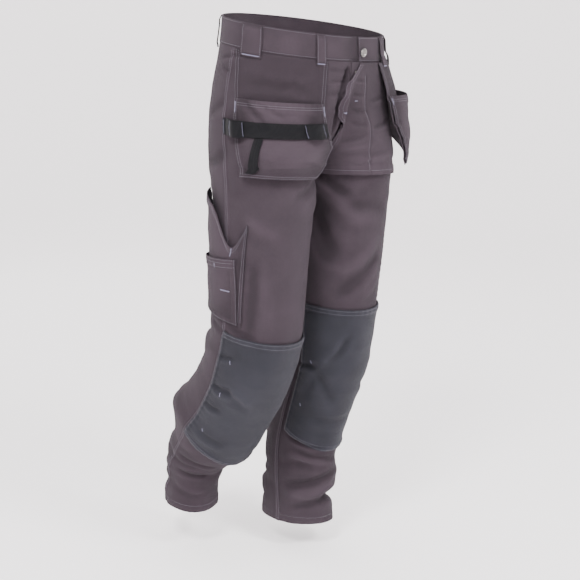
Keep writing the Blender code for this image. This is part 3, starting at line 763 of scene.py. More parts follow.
def pouch_lift(side, down, turn):
    """The inner face of a holster pouch: sewn at its sides and bottom, and open at its mouth."""
    rows = HOLSTER_ROWS[side]
    first = between([(row.down_start, row.turn_start) for row in rows], down, rounded=False)
    last = between([(row.down_end, row.turn_end) for row in rows], down, rounded=False)
    share = limited((turn - first) / (last - first))
    bottom = rows[-1].down_start + (rows[-1].down_end - rows[-1].down_start) * share
    mouth = POUCH_MOUTH[side]
    below = limited((down - mouth) / (bottom - mouth))
    bulge = POUCH_DEPTH[side] * np.sin(np.pi * share) * (1 - below**3)
    return holster_lift(side, down) + CLOTH + LAYER_GAP + bulge


def over_right_pouch(down, turn):
    over = pouch_lift("right", down, turn) + CLOTH + LAYER_GAP
    past = limited((turn - 0.445) / 0.03)
    return over + (LAYER_GAP - over) * past


def cargo_bulge(side, down, turn):
    start, end = CARGO_ROWS[side][1].turn_start, CARGO_ROWS[side][1].turn_end
    bottom = CARGO_ROWS[side][-1].down_start
    fullness = limited((bottom - down) / (bottom - CARGO_FULL)) ** 0.8
    return CARGO_DEPTH * np.sin(np.pi * limited((turn - start) / (end - start))) * fullness


def panel_patch(side, face):
    first, last = (0.0, 0.5) if face == "front" else (0.5, 1.0)
    spot = outline([Row(WAIST_SEAM + 0.0003, first, WAIST_SEAM + 0.0003, last), Row(HEM[side], first, HEM[side], last)])

    def height(down, turn, along, across):
        from_hem = HEM[side] - down
        hem = 0.0010 * (1 - eased((from_hem - 0.016) / 0.002)) - 0.0005 * bell((from_hem - 0.0145) / 0.0012)
        roping = 0.0003 * np.sin((from_hem * 0.8 + np.minimum(turn, 1 - turn) * girth(down)) / 0.0022) * (from_hem < 0.018)
        return seam_relief(side, down, turn) + hem + roping

    return Patch(side, spot, height)


def waistband_patch():
    under = CLOTH + BAND_OUT + 2 * LAYER_GAP
    top, seam = BAND_TOP, WAIST_SEAM - SEAM_GAP
    spot = outline([Row(top, 0.042, top, 2.085), Row(seam, 0.042, seam, 2.085)])

    def height(down, turn, along, across):
        crown = 0.0007 * np.sin(np.pi * along)
        edges = -0.0005 * (bell((along - 0.05) / 0.022) + bell((along - 0.95) / 0.022))
        waves = 0.0005 * soft_noise(turn / 0.045, along * 1.5, 71) * np.sin(np.pi * along)
        return BAND_OUT - under * limited((turn - 1.96) / 0.06) + crown + edges + waves

    return Patch("left", spot, height)


def loop_patch(loop):
    half = LOOP_WIDTH * loop.widths / BODY_TURN / 2
    first, last = loop.turn - half, loop.turn + half
    top, tail = BAND_TOP + 0.001, WAIST_SEAM + LOOP_TAIL
    spot = outline([Row(top, first, top, last), Row(tail, first, tail, last)])

    def height(down, turn, along, across):
        rise = LOOP_STANDOFF * np.minimum(1.0, np.sin(np.pi * along) * 2.2)
        share = eased((along - 0.35) / 0.4)
        rise = np.maximum(rise, (loop.tail_height - LOOP_SEAT) * share)
        buckle = 0.0006 * np.sin(np.pi * across) * np.sin(2.5 * np.pi * along) * (loop.widths > 2)
        tuck = -0.0005 * bell((along - 0.93) / 0.03) - 0.0004 * bell((along - 0.05) / 0.03)
        side_lines = -0.0003 * (bell((across - 0.14) / 0.05) + bell((across - 0.86) / 0.05))
        return LOOP_SEAT + CLOTH + rise + buckle + tuck + side_lines

    return Patch(loop.side, spot, height)


def apron_patch():
    spot = outline(APRON_ROWS, rounded=True)
    size = (0.228, 0.140)
    hems = folded_edges(size, start=0.010, bottom=0.012)
    pull = puckered(size, ["start", "bottom"])

    def height(down, turn, along, across):
        gape = APRON_GAPE * bell(across / 0.10) * np.sin(np.pi * np.minimum(1.0, along * 1.25))
        hem_out = APRON_HEM_OUT * limited((along - 0.5) / 0.4)
        return APRON_SEAT + CLOTH + gape + hem_out + hems(along, across) + pull(along, across) + j_seam(down, turn)

    return Patch("left", spot, height)


J_SEAM = [(0.043, 0.067), (0.117, 0.079), (0.157, 0.118), (0.209, 0.151), (0.225, 0.177), (0.238, 0.207), (0.266, 0.207)]


def j_seam(down, turn):
    """The long seam down the left front: a step with a groove beside it."""
    away = (turn - between(J_SEAM, down)) * girth(down)
    live = eased((down - 0.045) / 0.01)
    return live * (0.0009 * (1 - eased(away / 0.0012)) * eased((away + 0.012) / 0.003) - 0.0016 * bell((away - 0.0012) / 0.0014))


def shield_patch():
    return Patch("left", outline([Row(0.025, 0.003, 0.025, 0.068), Row(0.120, 0.003, 0.120, 0.055)]), flat(0.0016))


def holster_patch(side):
    size = (0.235, 0.170) if side == "right" else (0.21, 0.13)
    hems = folded_edges(size, start=0.012, end=0.008)
    pull = puckered(size, ["start", "end"])

    def height(down, turn, along, across):
        waves = 0.0012 * soft_noise(down / 0.04, turn / 0.09, 83) * np.sin(np.pi * across) * eased(along * 4)
        room = limited((POUCH_MOUTH[side] + 0.01 - down) / 0.02)
        return holster_lift(side, down) + CLOTH + (hems(along, across) + pull(along, across) + waves) * room

    return Patch(side, outline(HOLSTER_ROWS[side]), height)


def pouch_patch(side):
    whole = outline(HOLSTER_ROWS[side])
    places = np.linspace(0, 1, 201)
    start = places[np.argmax(whole(places, np.zeros(201))[0] >= POUCH_MOUTH[side])]
    rows = []
    for t in np.linspace(start, 0.992, 9):
        first, last = whole(np.array(t), np.array(0.015)), whole(np.array(t), np.array(0.985))
        rows.append(Row(*map(float, first), *map(float, last)))
    size = (0.150, 0.190) if side == "right" else (0.115, 0.150)
    hems = folded_edges(size, top=0.014, start=0.009, end=0.009, bottom=0.010)
    pull = puckered(size, ["top", "start", "end", "bottom"])

    def height(down, turn, along, across):
        inner = np.sin(np.pi * across) * np.sin(np.pi * limited(along))
        waves = 0.0022 * soft_noise(down / 0.035 + 2, turn / 0.075, 97) * inner
        return pouch_lift(side, down, turn) + CLOTH + hems(along, across) + pull(along, across) + waves

    return Patch(side, outline(rows), height)


def band_patch():
    top, end = TOOL_BAND_TOP, TOOL_BAND_TOP + WEBBING_WIDTH
    first, last = TOOL_BAND_TURNS

    def height(down, turn, along, across):
        return over_right_pouch(down, turn) + WEBBING + 0.0012

    return Patch("right", outline([Row(top, first, top, last), Row(end, first, end, last)]), height)


def tool_loop_patch(name):
    top, end = TOOL_BAND_TOP, TOOL_BAND_TOP + WEBBING_WIDTH
    first, last = TOOL_LOOP_TURNS[name]

    def height(down, turn, along, across):
        standoff = TOOL_LOOP_STANDOFF * np.sin(np.pi * across)
        return over_right_pouch(down, turn) + 2 * WEBBING + LAYER_GAP + 0.0012 + standoff

    return Patch("right", outline([Row(top, first, top, last), Row(end, first, end, last)]), height)


def strap_patch():
    top = TOOL_BAND_TOP + WEBBING_WIDTH + 2 * SEAM_GAP

    def height(down, turn, along, across):
        middle = 0.0006 * bell((across - 0.5) / 0.25) - 0.0006 * bell((across - 0.5) / 0.06)
        return over_right_pouch(down, turn) + 2 * WEBBING + middle + 0.0012

    return Patch("right", outline([Row(top, 0.330, top, 0.355), Row(0.247, 0.388, 0.247, 0.412)]), height)


def cargo_patch(side):
    straight = outline(CARGO_ROWS[side])
    size = (0.21, 0.135)
    hems = folded_edges(size, top=0.013, start=0.009, end=0.009, bottom=0.010)
    pull = puckered(size, ["top", "start", "end"])

    def spot(along, across):
        down, turn = straight(along, across)
        dip = CARGO_MOUTH_DIP * bell((across - CARGO_MOUTH_TURN) / 0.2)
        return down + dip * (1 - along) ** 2, turn

    def height(down, turn, along, across):
        waves = 0.0012 * soft_noise(down / 0.05, turn / 0.08, 101) * np.sin(np.pi * across) * (along < 0.5)
        covered = limited((down - 0.405) / 0.01) * (across > 0.05)
        edge = hems(along, across) * (1 - covered) + pull(along, across) * (1 - covered)
        return LAYER_GAP + CLOTH + cargo_bulge(side, down, turn) + edge + waves * (1 - covered)

    return Patch(side, spot, height)


def ruler_patch(side):
    size = (0.120, 0.110)
    hems = folded_edges(size, top=0.018, start=0.008, end=0.008, bottom=0.008)
    pull = puckered(size, ["top", "start", "end", "bottom"])

    def height(down, turn, along, across):
        standoff = RULER_DEPTH * np.sin(np.pi * across) * (1 - along) ** 0.6
        base = 2 * LAYER_GAP + 2 * CLOTH + cargo_bulge(side, down, turn) + standoff
        waves = 0.0012 * soft_noise(down / 0.04, turn / 0.05, 107) * np.sin(np.pi * across)
        return base + hems(along, across) + pull(along, across) + waves + 0.0008

    return Patch(side, outline(RULER_ROWS[side]), height)


def knee_patch(side):
    straight = outline(KNEE_ROWS[side])
    size = (0.29, 0.27)
    hems = folded_edges(size, top=0.012, start=0.006, end=0.006, bottom=0.012)
    pull = puckered(size, ["top", "start", "end", "bottom"], 0.0005, 0.016)

    def spot(along, across):
        down, turn = straight(along, across)
        return down + KNEE_BOW * along * along * np.sin(np.pi * across), turn

    def height(down, turn, along, across):
        crown = 0.0030 * np.sin(np.pi * limited(across)) ** 0.5 * np.sin(np.pi * limited(along)) ** 0.5
        waves = 0.0014 * soft_noise(down / 0.06, turn / 0.09, 113) * np.sin(np.pi * across)
        lip = 0.0035 * eased((along - 0.90) / 0.10) * np.sin(np.pi * limited(across)) ** 0.5
        return LAYER_GAP + PAD_CLOTH + crown + lip + waves + hems(along, across) + pull(along, across)

    return Patch(side, spot, height)


# Stitching


def inset(patch, edge, distance, start=0.0, end=1.0, count=160):
    """Places along a line at this distance from one edge of a piece, from `start` to `end` of it."""
    run = np.linspace(start, end, count)
    reach = np.linspace(0, 0.5, 24)
    reach = reach if edge in ("top", "start") else 1 - reach
    if edge in ("top", "bottom"):
        points = points_on(patch, reach[:, None], run[None, :]).swapaxes(0, 1)
    else:
        points = points_on(patch, run[:, None], reach[None, :])
    gone = lengths(points, 1)
    found = np.array([np.interp(distance, row, reach) for row in gone])
    return (found, run) if edge in ("top", "bottom") else (run, found)


def at_places(patch, downs, turns, count=160):
    """Places in a piece's own measure for a line given by distances down and turns."""
    t = np.linspace(0, 1, count)
    down, turn = np.interp(t, np.linspace(0, 1, len(downs)), downs), np.interp(t, np.linspace(0, 1, len(turns)), turns)
    grid = np.linspace(0, 1, 240)
    all_down, all_turn = patch.spot(*np.broadcast_arrays(grid[:, None], grid[None, :]))
    found = [np.unravel_index(np.argmin((all_down - d) ** 2 + (0.5 * (all_turn - u)) ** 2), all_down.shape) for d, u in zip(down, turn)]
    rows, columns = grid[[k[0] for k in found]], grid[[k[1] for k in found]]
    smooth = np.ones(9) / 9
    rows = np.convolve(np.pad(rows, 4, mode="edge"), smooth, mode="valid")
    columns = np.convolve(np.pad(columns, 4, mode="edge"), smooth, mode="valid")
    return rows, columns


def stitch_points(patch, places, pitch):
    """Middle, direction and outward direction of each stitch along a line of places."""
    along, across = places
    points = points_on(patch, along, across)
    above = points_on(patch, along, across, 0.004)
    run = lengths(points, 0)
    count = max(1, int(run[-1] / pitch))
    at = (np.arange(count) + 0.5) * run[-1] / count
    middle = np.stack([np.interp(at, run, points[:, k]) for k in range(3)], axis=-1)
    ahead = np.stack([np.interp(at + pitch / 4, run, points[:, k]) for k in range(3)], axis=-1)
    behind = np.stack([np.interp(at - pitch / 4, run, points[:, k]) for k in range(3)], axis=-1)
    up = np.stack([np.interp(at, run, above[:, k]) for k in range(3)], axis=-1) - middle
    return middle, ahead - behind, up


# A group of stitches: middles, and the half axes along, across and out of the cloth
Stitches = namedtuple("Stitches", "middles along across out")


def stitches_on(patch, places, length, pitch, width, across_line=False):
    """Small rounded stitches along a line of places, half sunk into the cloth."""
    middle, ahead, up = stitch_points(patch, places, pitch)
    ahead = ahead / np.linalg.norm(ahead, axis=1, keepdims=True)
    up = up / np.linalg.norm(up, axis=1, keepdims=True)
    sideways = np.cross(up, ahead)
    long, wide = (sideways, ahead) if across_line else (ahead, sideways)
    return Stitches(middle + up * width * 0.12, long * length / 2, wide * width / 2, up * width * 0.42)


def copied_balls(count):
    """A mesh of this many small balls in a row, 10 units apart."""
    bm = bmesh.new()
    bmesh.ops.create_icosphere(bm, subdivisions=1, radius=1.0)
    made = 1
    while made < count:
        everything = bm.verts[:] + bm.edges[:] + bm.faces[:]
        copy = bmesh.ops.duplicate(bm, geom=everything)["geom"]
        moved = [part for part in copy if isinstance(part, bmesh.types.BMVert)]
        bmesh.ops.translate(bm, vec=(10.0 * made, 0, 0), verts=moved)
        made *= 2
    spare = [vert for vert in bm.verts if vert.co.x > 10.0 * count - 5.0]
    bmesh.ops.delete(bm, geom=spare, context="VERTS")
    return bm


def stitched_object(name, groups, finish):
    """One object of all these stitches."""
    middles, along, across, out = (np.concatenate(parts) for parts in zip(*groups))
    bm = copied_balls(len(middles))
    mesh = bpy.data.meshes.new(name)
    bm.to_mesh(mesh)
    bm.free()
    corners = np.empty(len(mesh.vertices) * 3, np.float32)
    mesh.vertices.foreach_get("co", corners)
    corners = corners.reshape(-1, 3)
    k = np.rint(corners[:, 0] / 10.0).astype(int)
    x, y, z = (corners - np.stack([10.0 * k, 0 * k, 0 * k], axis=-1)).T[..., None]
    placed = middles[k] + along[k] * x + across[k] * y + out[k] * z
    mesh.vertices.foreach_set("co", placed.astype(np.float32).ravel())
    mesh.update()
    mesh.shade_smooth()
    mesh.materials.append(finish)
    obj = bpy.data.objects.new(name, mesh)
    bpy.context.scene.collection.objects.link(obj)
    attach(obj, "root")
    return obj


def topstitching(name, lines):
    """One object for the topstitch lines of a piece. Each line is a patch and its places."""
    size = sizes()
    pitch = size.stitch_length + size.stitch_gap
    groups = [stitches_on(patch, places, size.stitch_length, pitch, size.thread_width) for patch, places in lines]
    return stitched_object(name, groups, thread_finish())


def bar_tacks(name, tacks):
    """Dense pale tacks. Each is a patch, its line's places and its width in metres."""
    groups = [stitches_on(patch, places, width, 0.0008, 0.0007, across_line=True) for patch, places, width in tacks]
    return stitched_object(name, groups, tack_finish())


def tack_line(patch, along, across, along_end, across_end):
    t = np.linspace(0, 1, 40)
    return along + (along_end - along) * t, across + (across_end - across) * t


# Materials


def shader_of(name):
    found = bpy.data.materials.get(name)
    if found:
        return found, None
    made = bpy.data.materials.new(name)
    made.use_nodes = True
    return made, made.node_tree.nodes["Principled BSDF"]


def add_node(material, kind, **values):
    node = material.node_tree.nodes.new(kind)
    for key, value in values.items():
        if key in node.inputs:
            node.inputs[key].default_value = value
        else:
            setattr(node, key, value)
    return node


def number(material, operation, first, second=None):
    """A maths node on two sockets or numbers."""
    node = material.node_tree.nodes.new("ShaderNodeMath")
    node.operation = operation
    for socket, value in zip(node.inputs, (first, second)):
        if value is None:
            continue
        if isinstance(value, (int, float)):
            socket.default_value = value
        else:
            material.node_tree.links.new(value, socket)
    return node.outputs[0]


def scaled_colour(colour, factor):
    return (*[min(1.0, c * factor) for c in colour], 1.0)


def woven_finish(name, colour, pitch, rough, sheen, weave_depth, wear_and_shade_gain, slub):
    """A twill: diagonal lines over single yarns, uneven dye, and ridges rubbed a little paler."""
    material, shader = shader_of(name)
    if shader is None:
        return material
    links = material.node_tree.links
    uv = add_node(material, "ShaderNodeUVMap", uv_map="weave")
    split = add_node(material, "ShaderNodeSeparateXYZ")
    links.new(uv.outputs["UV"], split.inputs[0])
    u, v = split.outputs["X"], split.outputs["Y"]
    turn = 2 * math.pi / pitch
    slanted = number(material, "MULTIPLY", number(material, "ADD", u, number(material, "MULTIPLY", v, 0.8)), turn)
    lines = number(material, "SINE", slanted)
    yarns = number(material, "SINE", number(material, "MULTIPLY", v, turn * 2.1))
    weave = number(material, "ADD", lines, number(material, "MULTIPLY", yarns, 0.35))
    place = add_node(material, "ShaderNodeTexCoord")
    patches = add_node(material, "ShaderNodeTexNoise", Scale=22.0, Detail=3.0, Roughness=0.55)
    slubs = add_node(material, "ShaderNodeTexNoise", Scale=420.0, Detail=2.0, Roughness=0.6)
    links.new(place.outputs["Object"], patches.inputs["Vector"])
    links.new(place.outputs["Object"], slubs.inputs["Vector"])
    wear_and_shade = add_node(material, "ShaderNodeAttribute", attribute_name="wear_and_shade")
    tone = number(material, "MULTIPLY", number(material, "SUBTRACT", patches.outputs["Fac"], 0.5), 0.9)
    tone = number(material, "ADD", tone, number(material, "MULTIPLY", number(material, "SUBTRACT", slubs.outputs["Fac"], 0.5), slub))
    # Painted shade and wear: darker in the crease troughs and seam grooves, paler on the ridges
    tone = number(material, "ADD", tone, number(material, "MULTIPLY", number(material, "SUBTRACT", wear_and_shade.outputs["Fac"], 0.5), wear_and_shade_gain))
    tone = number(material, "ADD", tone, number(material, "MULTIPLY", weave, 0.10))
    tone = number(material, "ADD", tone, 0.5)
    mix = add_node(material, "ShaderNodeMix", data_type="RGBA")
    mix.inputs[6].default_value = scaled_colour(colour, 0.72)
    mix.inputs[7].default_value = scaled_colour(colour, 1.28)
    links.new(tone, mix.inputs["Factor"])
    links.new(mix.outputs[2], shader.inputs["Base Color"])
    bump = add_node(material, "ShaderNodeBump", Strength=1.0, Distance=weave_depth)
    height = number(material, "ADD", weave, number(material, "MULTIPLY", slubs.outputs["Fac"], 1.5))
    links.new(height, bump.inputs["Height"])
    links.new(bump.outputs["Normal"], shader.inputs["Normal"])
    shader.inputs["Roughness"].default_value = rough
    shader.inputs["Sheen Weight"].default_value = sheen
    shader.inputs["Sheen Roughness"].default_value = 0.45
    shader.inputs["Sheen Tint"].default_value = scaled_colour((0.9, 0.85, 0.95), 1.0)
    shader.inputs["Specular IOR Level"].default_value = 0.12
    return material


def twill_finish():
    return woven_finish("grey_twill", colours().twill, sizes().twill_pitch, 0.90, 0.03, 0.00014, 1.00, 0.7)


def pad_finish():
    return woven_finish("slate_twill", colours().pad, sizes().twill_pitch * 1.3, 0.66, 0.04, 0.00016, 0.90, 0.6)


def webbing_finish():
    """Black ribbed elastic: ribs across its width, with a matt nylon sheen."""
    material, shader = shader_of("black_webbing")
    if shader is None:
        return material
    links = material.node_tree.links
    uv = add_node(material, "ShaderNodeUVMap", uv_map="weave")
    split = add_node(material, "ShaderNodeSeparateXYZ")
    links.new(uv.outputs["UV"], split.inputs[0])
    ribs = number(material, "SINE", number(material, "MULTIPLY", split.outputs["X"], 2 * math.pi / 0.0024))
    yarns = number(material, "SINE", number(material, "MULTIPLY", split.outputs["Y"], 2 * math.pi / 0.0013))
    height = number(material, "ADD", ribs, number(material, "MULTIPLY", yarns, 0.6))
    bump = add_node(material, "ShaderNodeBump", Strength=1.0, Distance=0.00035)
    links.new(height, bump.inputs["Height"])
    links.new(bump.outputs["Normal"], shader.inputs["Normal"])
    mix = add_node(material, "ShaderNodeMix", data_type="RGBA")
    mix.inputs[6].default_value = scaled_colour(colours().webbing, 0.6)
    mix.inputs[7].default_value = scaled_colour(colours().webbing, 2.2)
    links.new(number(material, "ADD", number(material, "MULTIPLY", height, 0.25), 0.4), mix.inputs["Factor"])
    links.new(mix.outputs[2], shader.inputs["Base Color"])
    shader.inputs["Roughness"].default_value = 0.62
    shader.inputs["Specular IOR Level"].default_value = 0.12
    return material


def twisted_finish(name, colour):
    """Sewing thread, with its twist as fine noise."""
    material, shader = shader_of(name)
    if shader is None:
        return material
    links = material.node_tree.links
    place = add_node(material, "ShaderNodeTexCoord")
    twist = add_node(material, "ShaderNodeTexNoise", Scale=1400.0, Detail=1.0)
    links.new(place.outputs["Object"], twist.inputs["Vector"])
    mix = add_node(material, "ShaderNodeMix", data_type="RGBA")
    mix.inputs[6].default_value = scaled_colour(colour, 0.75)
    mix.inputs[7].default_value = scaled_colour(colour, 1.25)
    links.new(twist.outputs["Fac"], mix.inputs["Factor"])
    links.new(mix.outputs[2], shader.inputs["Base Color"])
    bump = add_node(material, "ShaderNodeBump", Strength=0.6, Distance=0.0001)
    links.new(twist.outputs["Fac"], bump.inputs["Height"])
    links.new(bump.outputs["Normal"], shader.inputs["Normal"])
    shader.inputs["Roughness"].default_value = 0.55
    shader.inputs["Sheen Weight"].default_value = 0.2
    return material


def thread_finish():
    return twisted_finish("topstitch_thread", colours().thread)


def tack_finish():
    return twisted_finish("pale_tack_thread", colours().tack)


def metal_finish():
    material, shader = shader_of("dull_metal")
    if shader is None:
        return material
    links = material.node_tree.links
    place = add_node(material, "ShaderNodeTexCoord")
    marks = add_node(material, "ShaderNodeTexNoise", Scale=900.0, Detail=3.0)
    links.new(place.outputs["Object"], marks.inputs["Vector"])
    shader.inputs["Base Color"].default_value = (*colours().metal, 1.0)
    shader.inputs["Metallic"].default_value = 1.0
    links.new(number(material, "ADD", number(material, "MULTIPLY", marks.outputs["Fac"], 0.25), 0.18), shader.inputs["Roughness"])
    bump = add_node(material, "ShaderNodeBump", Strength=0.3, Distance=0.00008)
    links.new(marks.outputs["Fac"], bump.inputs["Height"])
    links.new(bump.outputs["Normal"], shader.inputs["Normal"])
    return material


def stage_finish():
    material, shader = shader_of("pale_stage")
    if shader is None:
        return material
    links = material.node_tree.links
    place = add_node(material, "ShaderNodeTexCoord")
    clouds = add_node(material, "ShaderNodeTexNoise", Scale=0.6, Detail=2.0)
    links.new(place.outputs["Object"], clouds.inputs["Vector"])
    mix = add_node(material, "ShaderNodeMix", data_type="RGBA")
    mix.inputs[6].default_value = (0.86, 0.835, 0.84, 1.0)
    mix.inputs[7].default_value = (0.90, 0.880, 0.885, 1.0)
    links.new(clouds.outputs["Fac"], mix.inputs["Factor"])
    links.new(mix.outputs[2], shader.inputs["Base Color"])
    shader.inputs["Roughness"].default_value = 0.9
    shader.inputs["Emission Color"].default_value = (1.0, 0.975, 0.98, 1.0)
    shader.inputs["Emission Strength"].default_value = 0.36
    return material


# Building, one group at a time


def build_panels():
    step = 0.0036
    for side in ("right", "left"):
        for face in ("front", "back"):
            patch = panel_patch(side, face)
            name = f"{side}_{face}_panel"
            cloth_piece(name, patch, step, twill_finish(), [f"{side}_{face}"])
        front, back = panel_patch(side, "front"), panel_patch(side, "back")
        leg = (CROTCH - WAIST_SEAM) / (HEM[side] - WAIST_SEAM)
        lines = [(front, inset(front, "end", gap, 0.002, 1.0, 400)) for gap in (0.0020, 0.0080)]
        lines += [(back, inset(back, "end", gap, leg, 1.0, 400)) for gap in (0.0020, 0.0080)]
        lines += [(panel, inset(panel, "bottom", 0.0145)) for panel in (front, back)]
        lines += [(back, inset(back, "end", gap, 0.002, leg - 0.01, 120)) for gap in (0.0020, 0.0075)]
        topstitching(f"{side}_leg_stitching", lines)


def build_waistband():
    patch = waistband_patch()
    cloth_piece("waistband_cloth", patch, 0.0032, twill_finish(), ["waistband"], 0.0025)
    lines = [(patch, inset(patch, edge, 0.0024, 0.0, 0.965, 500)) for edge in ("top", "bottom")]
    lines += [(patch, inset(patch, "start", 0.0024, 0.05, 0.95, 20))]
    topstitching("waistband_stitching", lines)


def build_belt_loops():
    lines, tacks = [], []
    for loop in LOOPS:
        patch = loop_patch(loop)
        cloth_piece(f"{loop.name}_cloth", patch, 0.0022, twill_finish(), [loop.name])
        gap = 0.0028 if loop.widths < 2 else 0.0030
        lines += [(patch, inset(patch, edge, gap, 0.03, 0.97, 60)) for edge in ("start", "end")]
        tacks += [(patch, tack_line(patch, 0.945, 0.10, 0.945, 0.90), 0.0030)]
    topstitching("belt_loop_stitching", lines)
    bar_tacks("belt_loop_tacks", tacks)


def set_on(bm, side, down, turn, lift, upright=True):
    """Moves a shape made at the origin onto the cloth, its Z outwards and its Y up the cloth."""
    here = Vector(surface(side, down, turn, lift))
    out = (Vector(surface(side, down, turn, lift + 0.005)) - here).normalized()
    up = (here - Vector(surface(side, down + 0.004, turn, lift))).normalized()
    sideways = up.cross(out).normalized()
    up = out.cross(sideways)
    turned = Matrix((sideways, up, out)).transposed().to_4x4()
    bmesh.ops.transform(bm, matrix=Matrix.Translation(here) @ turned, verts=bm.verts)


def hard_object(name, bm, finish, nodes=()):
    bmesh.ops.remove_doubles(bm, verts=bm.verts, dist=0.00001)
    bmesh.ops.recalc_face_normals(bm, faces=bm.faces)
    mesh = bpy.data.meshes.new(name)
    bm.to_mesh(mesh)
    bm.free()
    mesh.shade_smooth()
    mesh.set_sharp_from_angle(angle=math.radians(40))
    mesh.materials.append(finish)
    obj = bpy.data.objects.new(name, mesh)
    bpy.context.scene.collection.objects.link(obj)
    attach(obj, "root")
    if nodes:
        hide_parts(*nodes)
    return obj


BUTTON_PROFILE = [
    (0.0000, 0.0013), (0.0040, 0.0012), (0.0050, 0.0014), (0.0058, 0.0026), (0.0070, 0.0033),
    (0.0081, 0.0030), (0.0086, 0.0020), (0.0084, 0.0008), (0.0074, 0.0002), (0.0000, 0.0000),
]


def build_fastening():
    bm = bmesh.new()
    ring = [bm.verts.new((radius, 0, height)) for radius, height in BUTTON_PROFILE]
    for first, second in zip(ring, ring[1:]):
        bm.edges.new((first, second))
    bmesh.ops.spin(
        bm, geom=bm.verts[:] + bm.edges[:], cent=(0, 0, 0), axis=(0, 0, 1), angle=2 * math.pi, steps=40, use_merge=True
    )
    set_on(bm, "left", 0.004, 0.060, 0.0030)
    hard_object("waist_button_metal", bm, metal_finish(), ["waist_button"])

    bm = bmesh.new()
    bmesh.ops.create_cube(bm, size=1.0, matrix=Matrix.Diagonal((0.0085, 0.0110, 0.0022, 1.0)))
    bmesh.ops.bevel(bm, geom=bm.edges[:], offset=0.0008, segments=3, profile=0.5, affect="EDGES", material=-1)
    bmesh.ops.create_cube(
        bm, size=1.0, matrix=Matrix.Translation((0, 0.0005, 0.0014)) @ Matrix.Diagonal((0.0024, 0.0080, 0.0014, 1.0))
    )
    set_on(bm, "left", 0.0475, 0.0235, 0.0031)
    hard_object("zip_slider_metal", bm, metal_finish(), ["zip_slider"])

    bm = bmesh.new()
    for k in range(30):
        tooth = Matrix.Translation((0.0011 * (1 if k % 2 else -1), 0, 0)) @ Matrix.Diagonal((0.0026, 0.0012, 0.0010, 1.0))
        step = bmesh.new()
        bmesh.ops.create_cube(step, size=1.0, matrix=tooth)
        set_on(step, "left", 0.056 + 0.0021 * k, 0.0235 + 0.00002 * k, 0.0019)
        made = bpy.data.meshes.new("tooth")
        step.to_mesh(made)
        step.free()
        bm.from_mesh(made)
        bpy.data.meshes.remove(made)
    hard_object("zip_teeth", bm, metal_finish())
    shield = shield_patch()
    cloth_piece("fly_shield_cloth", shield, 0.0040, twill_finish(), ["fly_shield"], 0.0008)


def build_apron():
    patch = apron_patch()
    cloth_piece("left_front_apron_cloth", patch, 0.0026, twill_finish(), ["left_front_apron"])
    lines = [(patch, inset(patch, "start", gap, 0.02, 1.0, 200)) for gap in (0.0022, 0.0085)]
    lines += [(patch, inset(patch, "bottom", 0.0100, 0.0, 1.0, 160))]
    downs = np.linspace(0.050, 0.258, 120)
    lines += [(patch, at_places(patch, downs, between(J_SEAM, downs) - 0.0024 / girth(downs)))]
    topstitching("left_front_apron_stitching", lines)
    tacks = [(patch, tack_line(patch, 0.50, 0.03, 0.50, 0.14), 0.0050)]
    tacks += [(patch, tack_line(patch, 0.40, 0.20, 0.40, 0.24), 0.0026)]
    bar_tacks("left_front_apron_tacks", tacks)


def build_holsters():
    for side in ("right", "left"):
        back, pouch = holster_patch(side), pouch_patch(side)
        cloth_piece(f"{side}_holster_back_cloth", back, 0.0028, twill_finish(), [f"{side}_holster_back"])
        cloth_piece(
            f"{side}_holster_pouch_cloth", pouch, 0.0026, twill_finish(), [f"{side}_holster_pouch"]
        )
        lines = [(back, inset(back, edge, gap, 0.0, 0.42)) for edge in ("start", "end") for gap in (0.0020, 0.0080)]
        lines += [(pouch, inset(pouch, edge, gap)) for edge in ("start", "end", "bottom") for gap in (0.0018, 0.0070)]
        lines += [(pouch, inset(pouch, "top", gap)) for gap in (0.0080, 0.0122)]
        topstitching(f"{side}_holster_stitching", lines)
        tacks = [(pouch, tack_line(pouch, 0.03, across, 0.12, across), 0.0030) for across in (0.02, 0.98)]
        bar_tacks(f"{side}_holster_tacks", tacks)


def build_tool_band():
    patch = band_patch()
    finish = webbing_finish()
    cloth_piece("right_tool_band_webbing", patch, 0.0026, finish, ["right_tool_band"], WEBBING)
    tacks = []
    for name in TOOL_LOOP_TURNS:
        loop = tool_loop_patch(name)
        cloth_piece(
            f"right_tool_loop_{name}_webbing", loop, 0.0020, finish, [f"right_tool_loop_{name}"], WEBBING
        )
        tacks += [(loop, inset(loop, edge, 0.0022, 0.08, 0.92, 30), 0.0012) for edge in ("start", "end")]
    strap = strap_patch()
    cloth_piece("right_tool_strap_webbing", strap, 0.0020, finish, ["right_tool_strap"], 2 * WEBBING)
    tacks += [(patch, inset(patch, "end", 0.0030, 0.08, 0.92, 30), 0.0012)]
    bar_tacks("tool_band_tacks", tacks)


def build_side_pockets():
    for side in ("right", "left"):
        cargo, ruler = cargo_patch(side), ruler_patch(side)
        cloth_piece(f"{side}_cargo_pocket_cloth", cargo, 0.0026, twill_finish(), [f"{side}_cargo_pocket"])
        cloth_piece(f"{side}_ruler_pocket_cloth", ruler, 0.0026, twill_finish(), [f"{side}_ruler_pocket"])
        lines = [(cargo, inset(cargo, "top", gap)) for gap in (0.0060, 0.0110)]
        lines += [(cargo, inset(cargo, edge, gap, 0.0, 0.95)) for edge in ("start", "end") for gap in (0.0018, 0.0070)]
        lines += [(ruler, inset(ruler, "top", gap)) for gap in (0.0020, 0.0080, 0.0160)]
        lines += [(ruler, inset(ruler, edge, 0.0020)) for edge in ("start", "end", "bottom")]
        topstitching(f"{side}_side_pocket_stitching", lines)
        tacks = [(ruler, tack_line(ruler, 0.08, 0.36, 0.16, 0.36), 0.0026)]
        tacks += [(ruler, tack_line(ruler, 0.50, 0.12, 0.50, 0.29), 0.0030)]
        tacks += [(cargo, tack_line(cargo, 0.02, CARGO_MOUTH_TURN - 0.02, 0.16, CARGO_MOUTH_TURN), 0.0030)]
        bar_tacks(f"{side}_side_pocket_tacks", tacks)


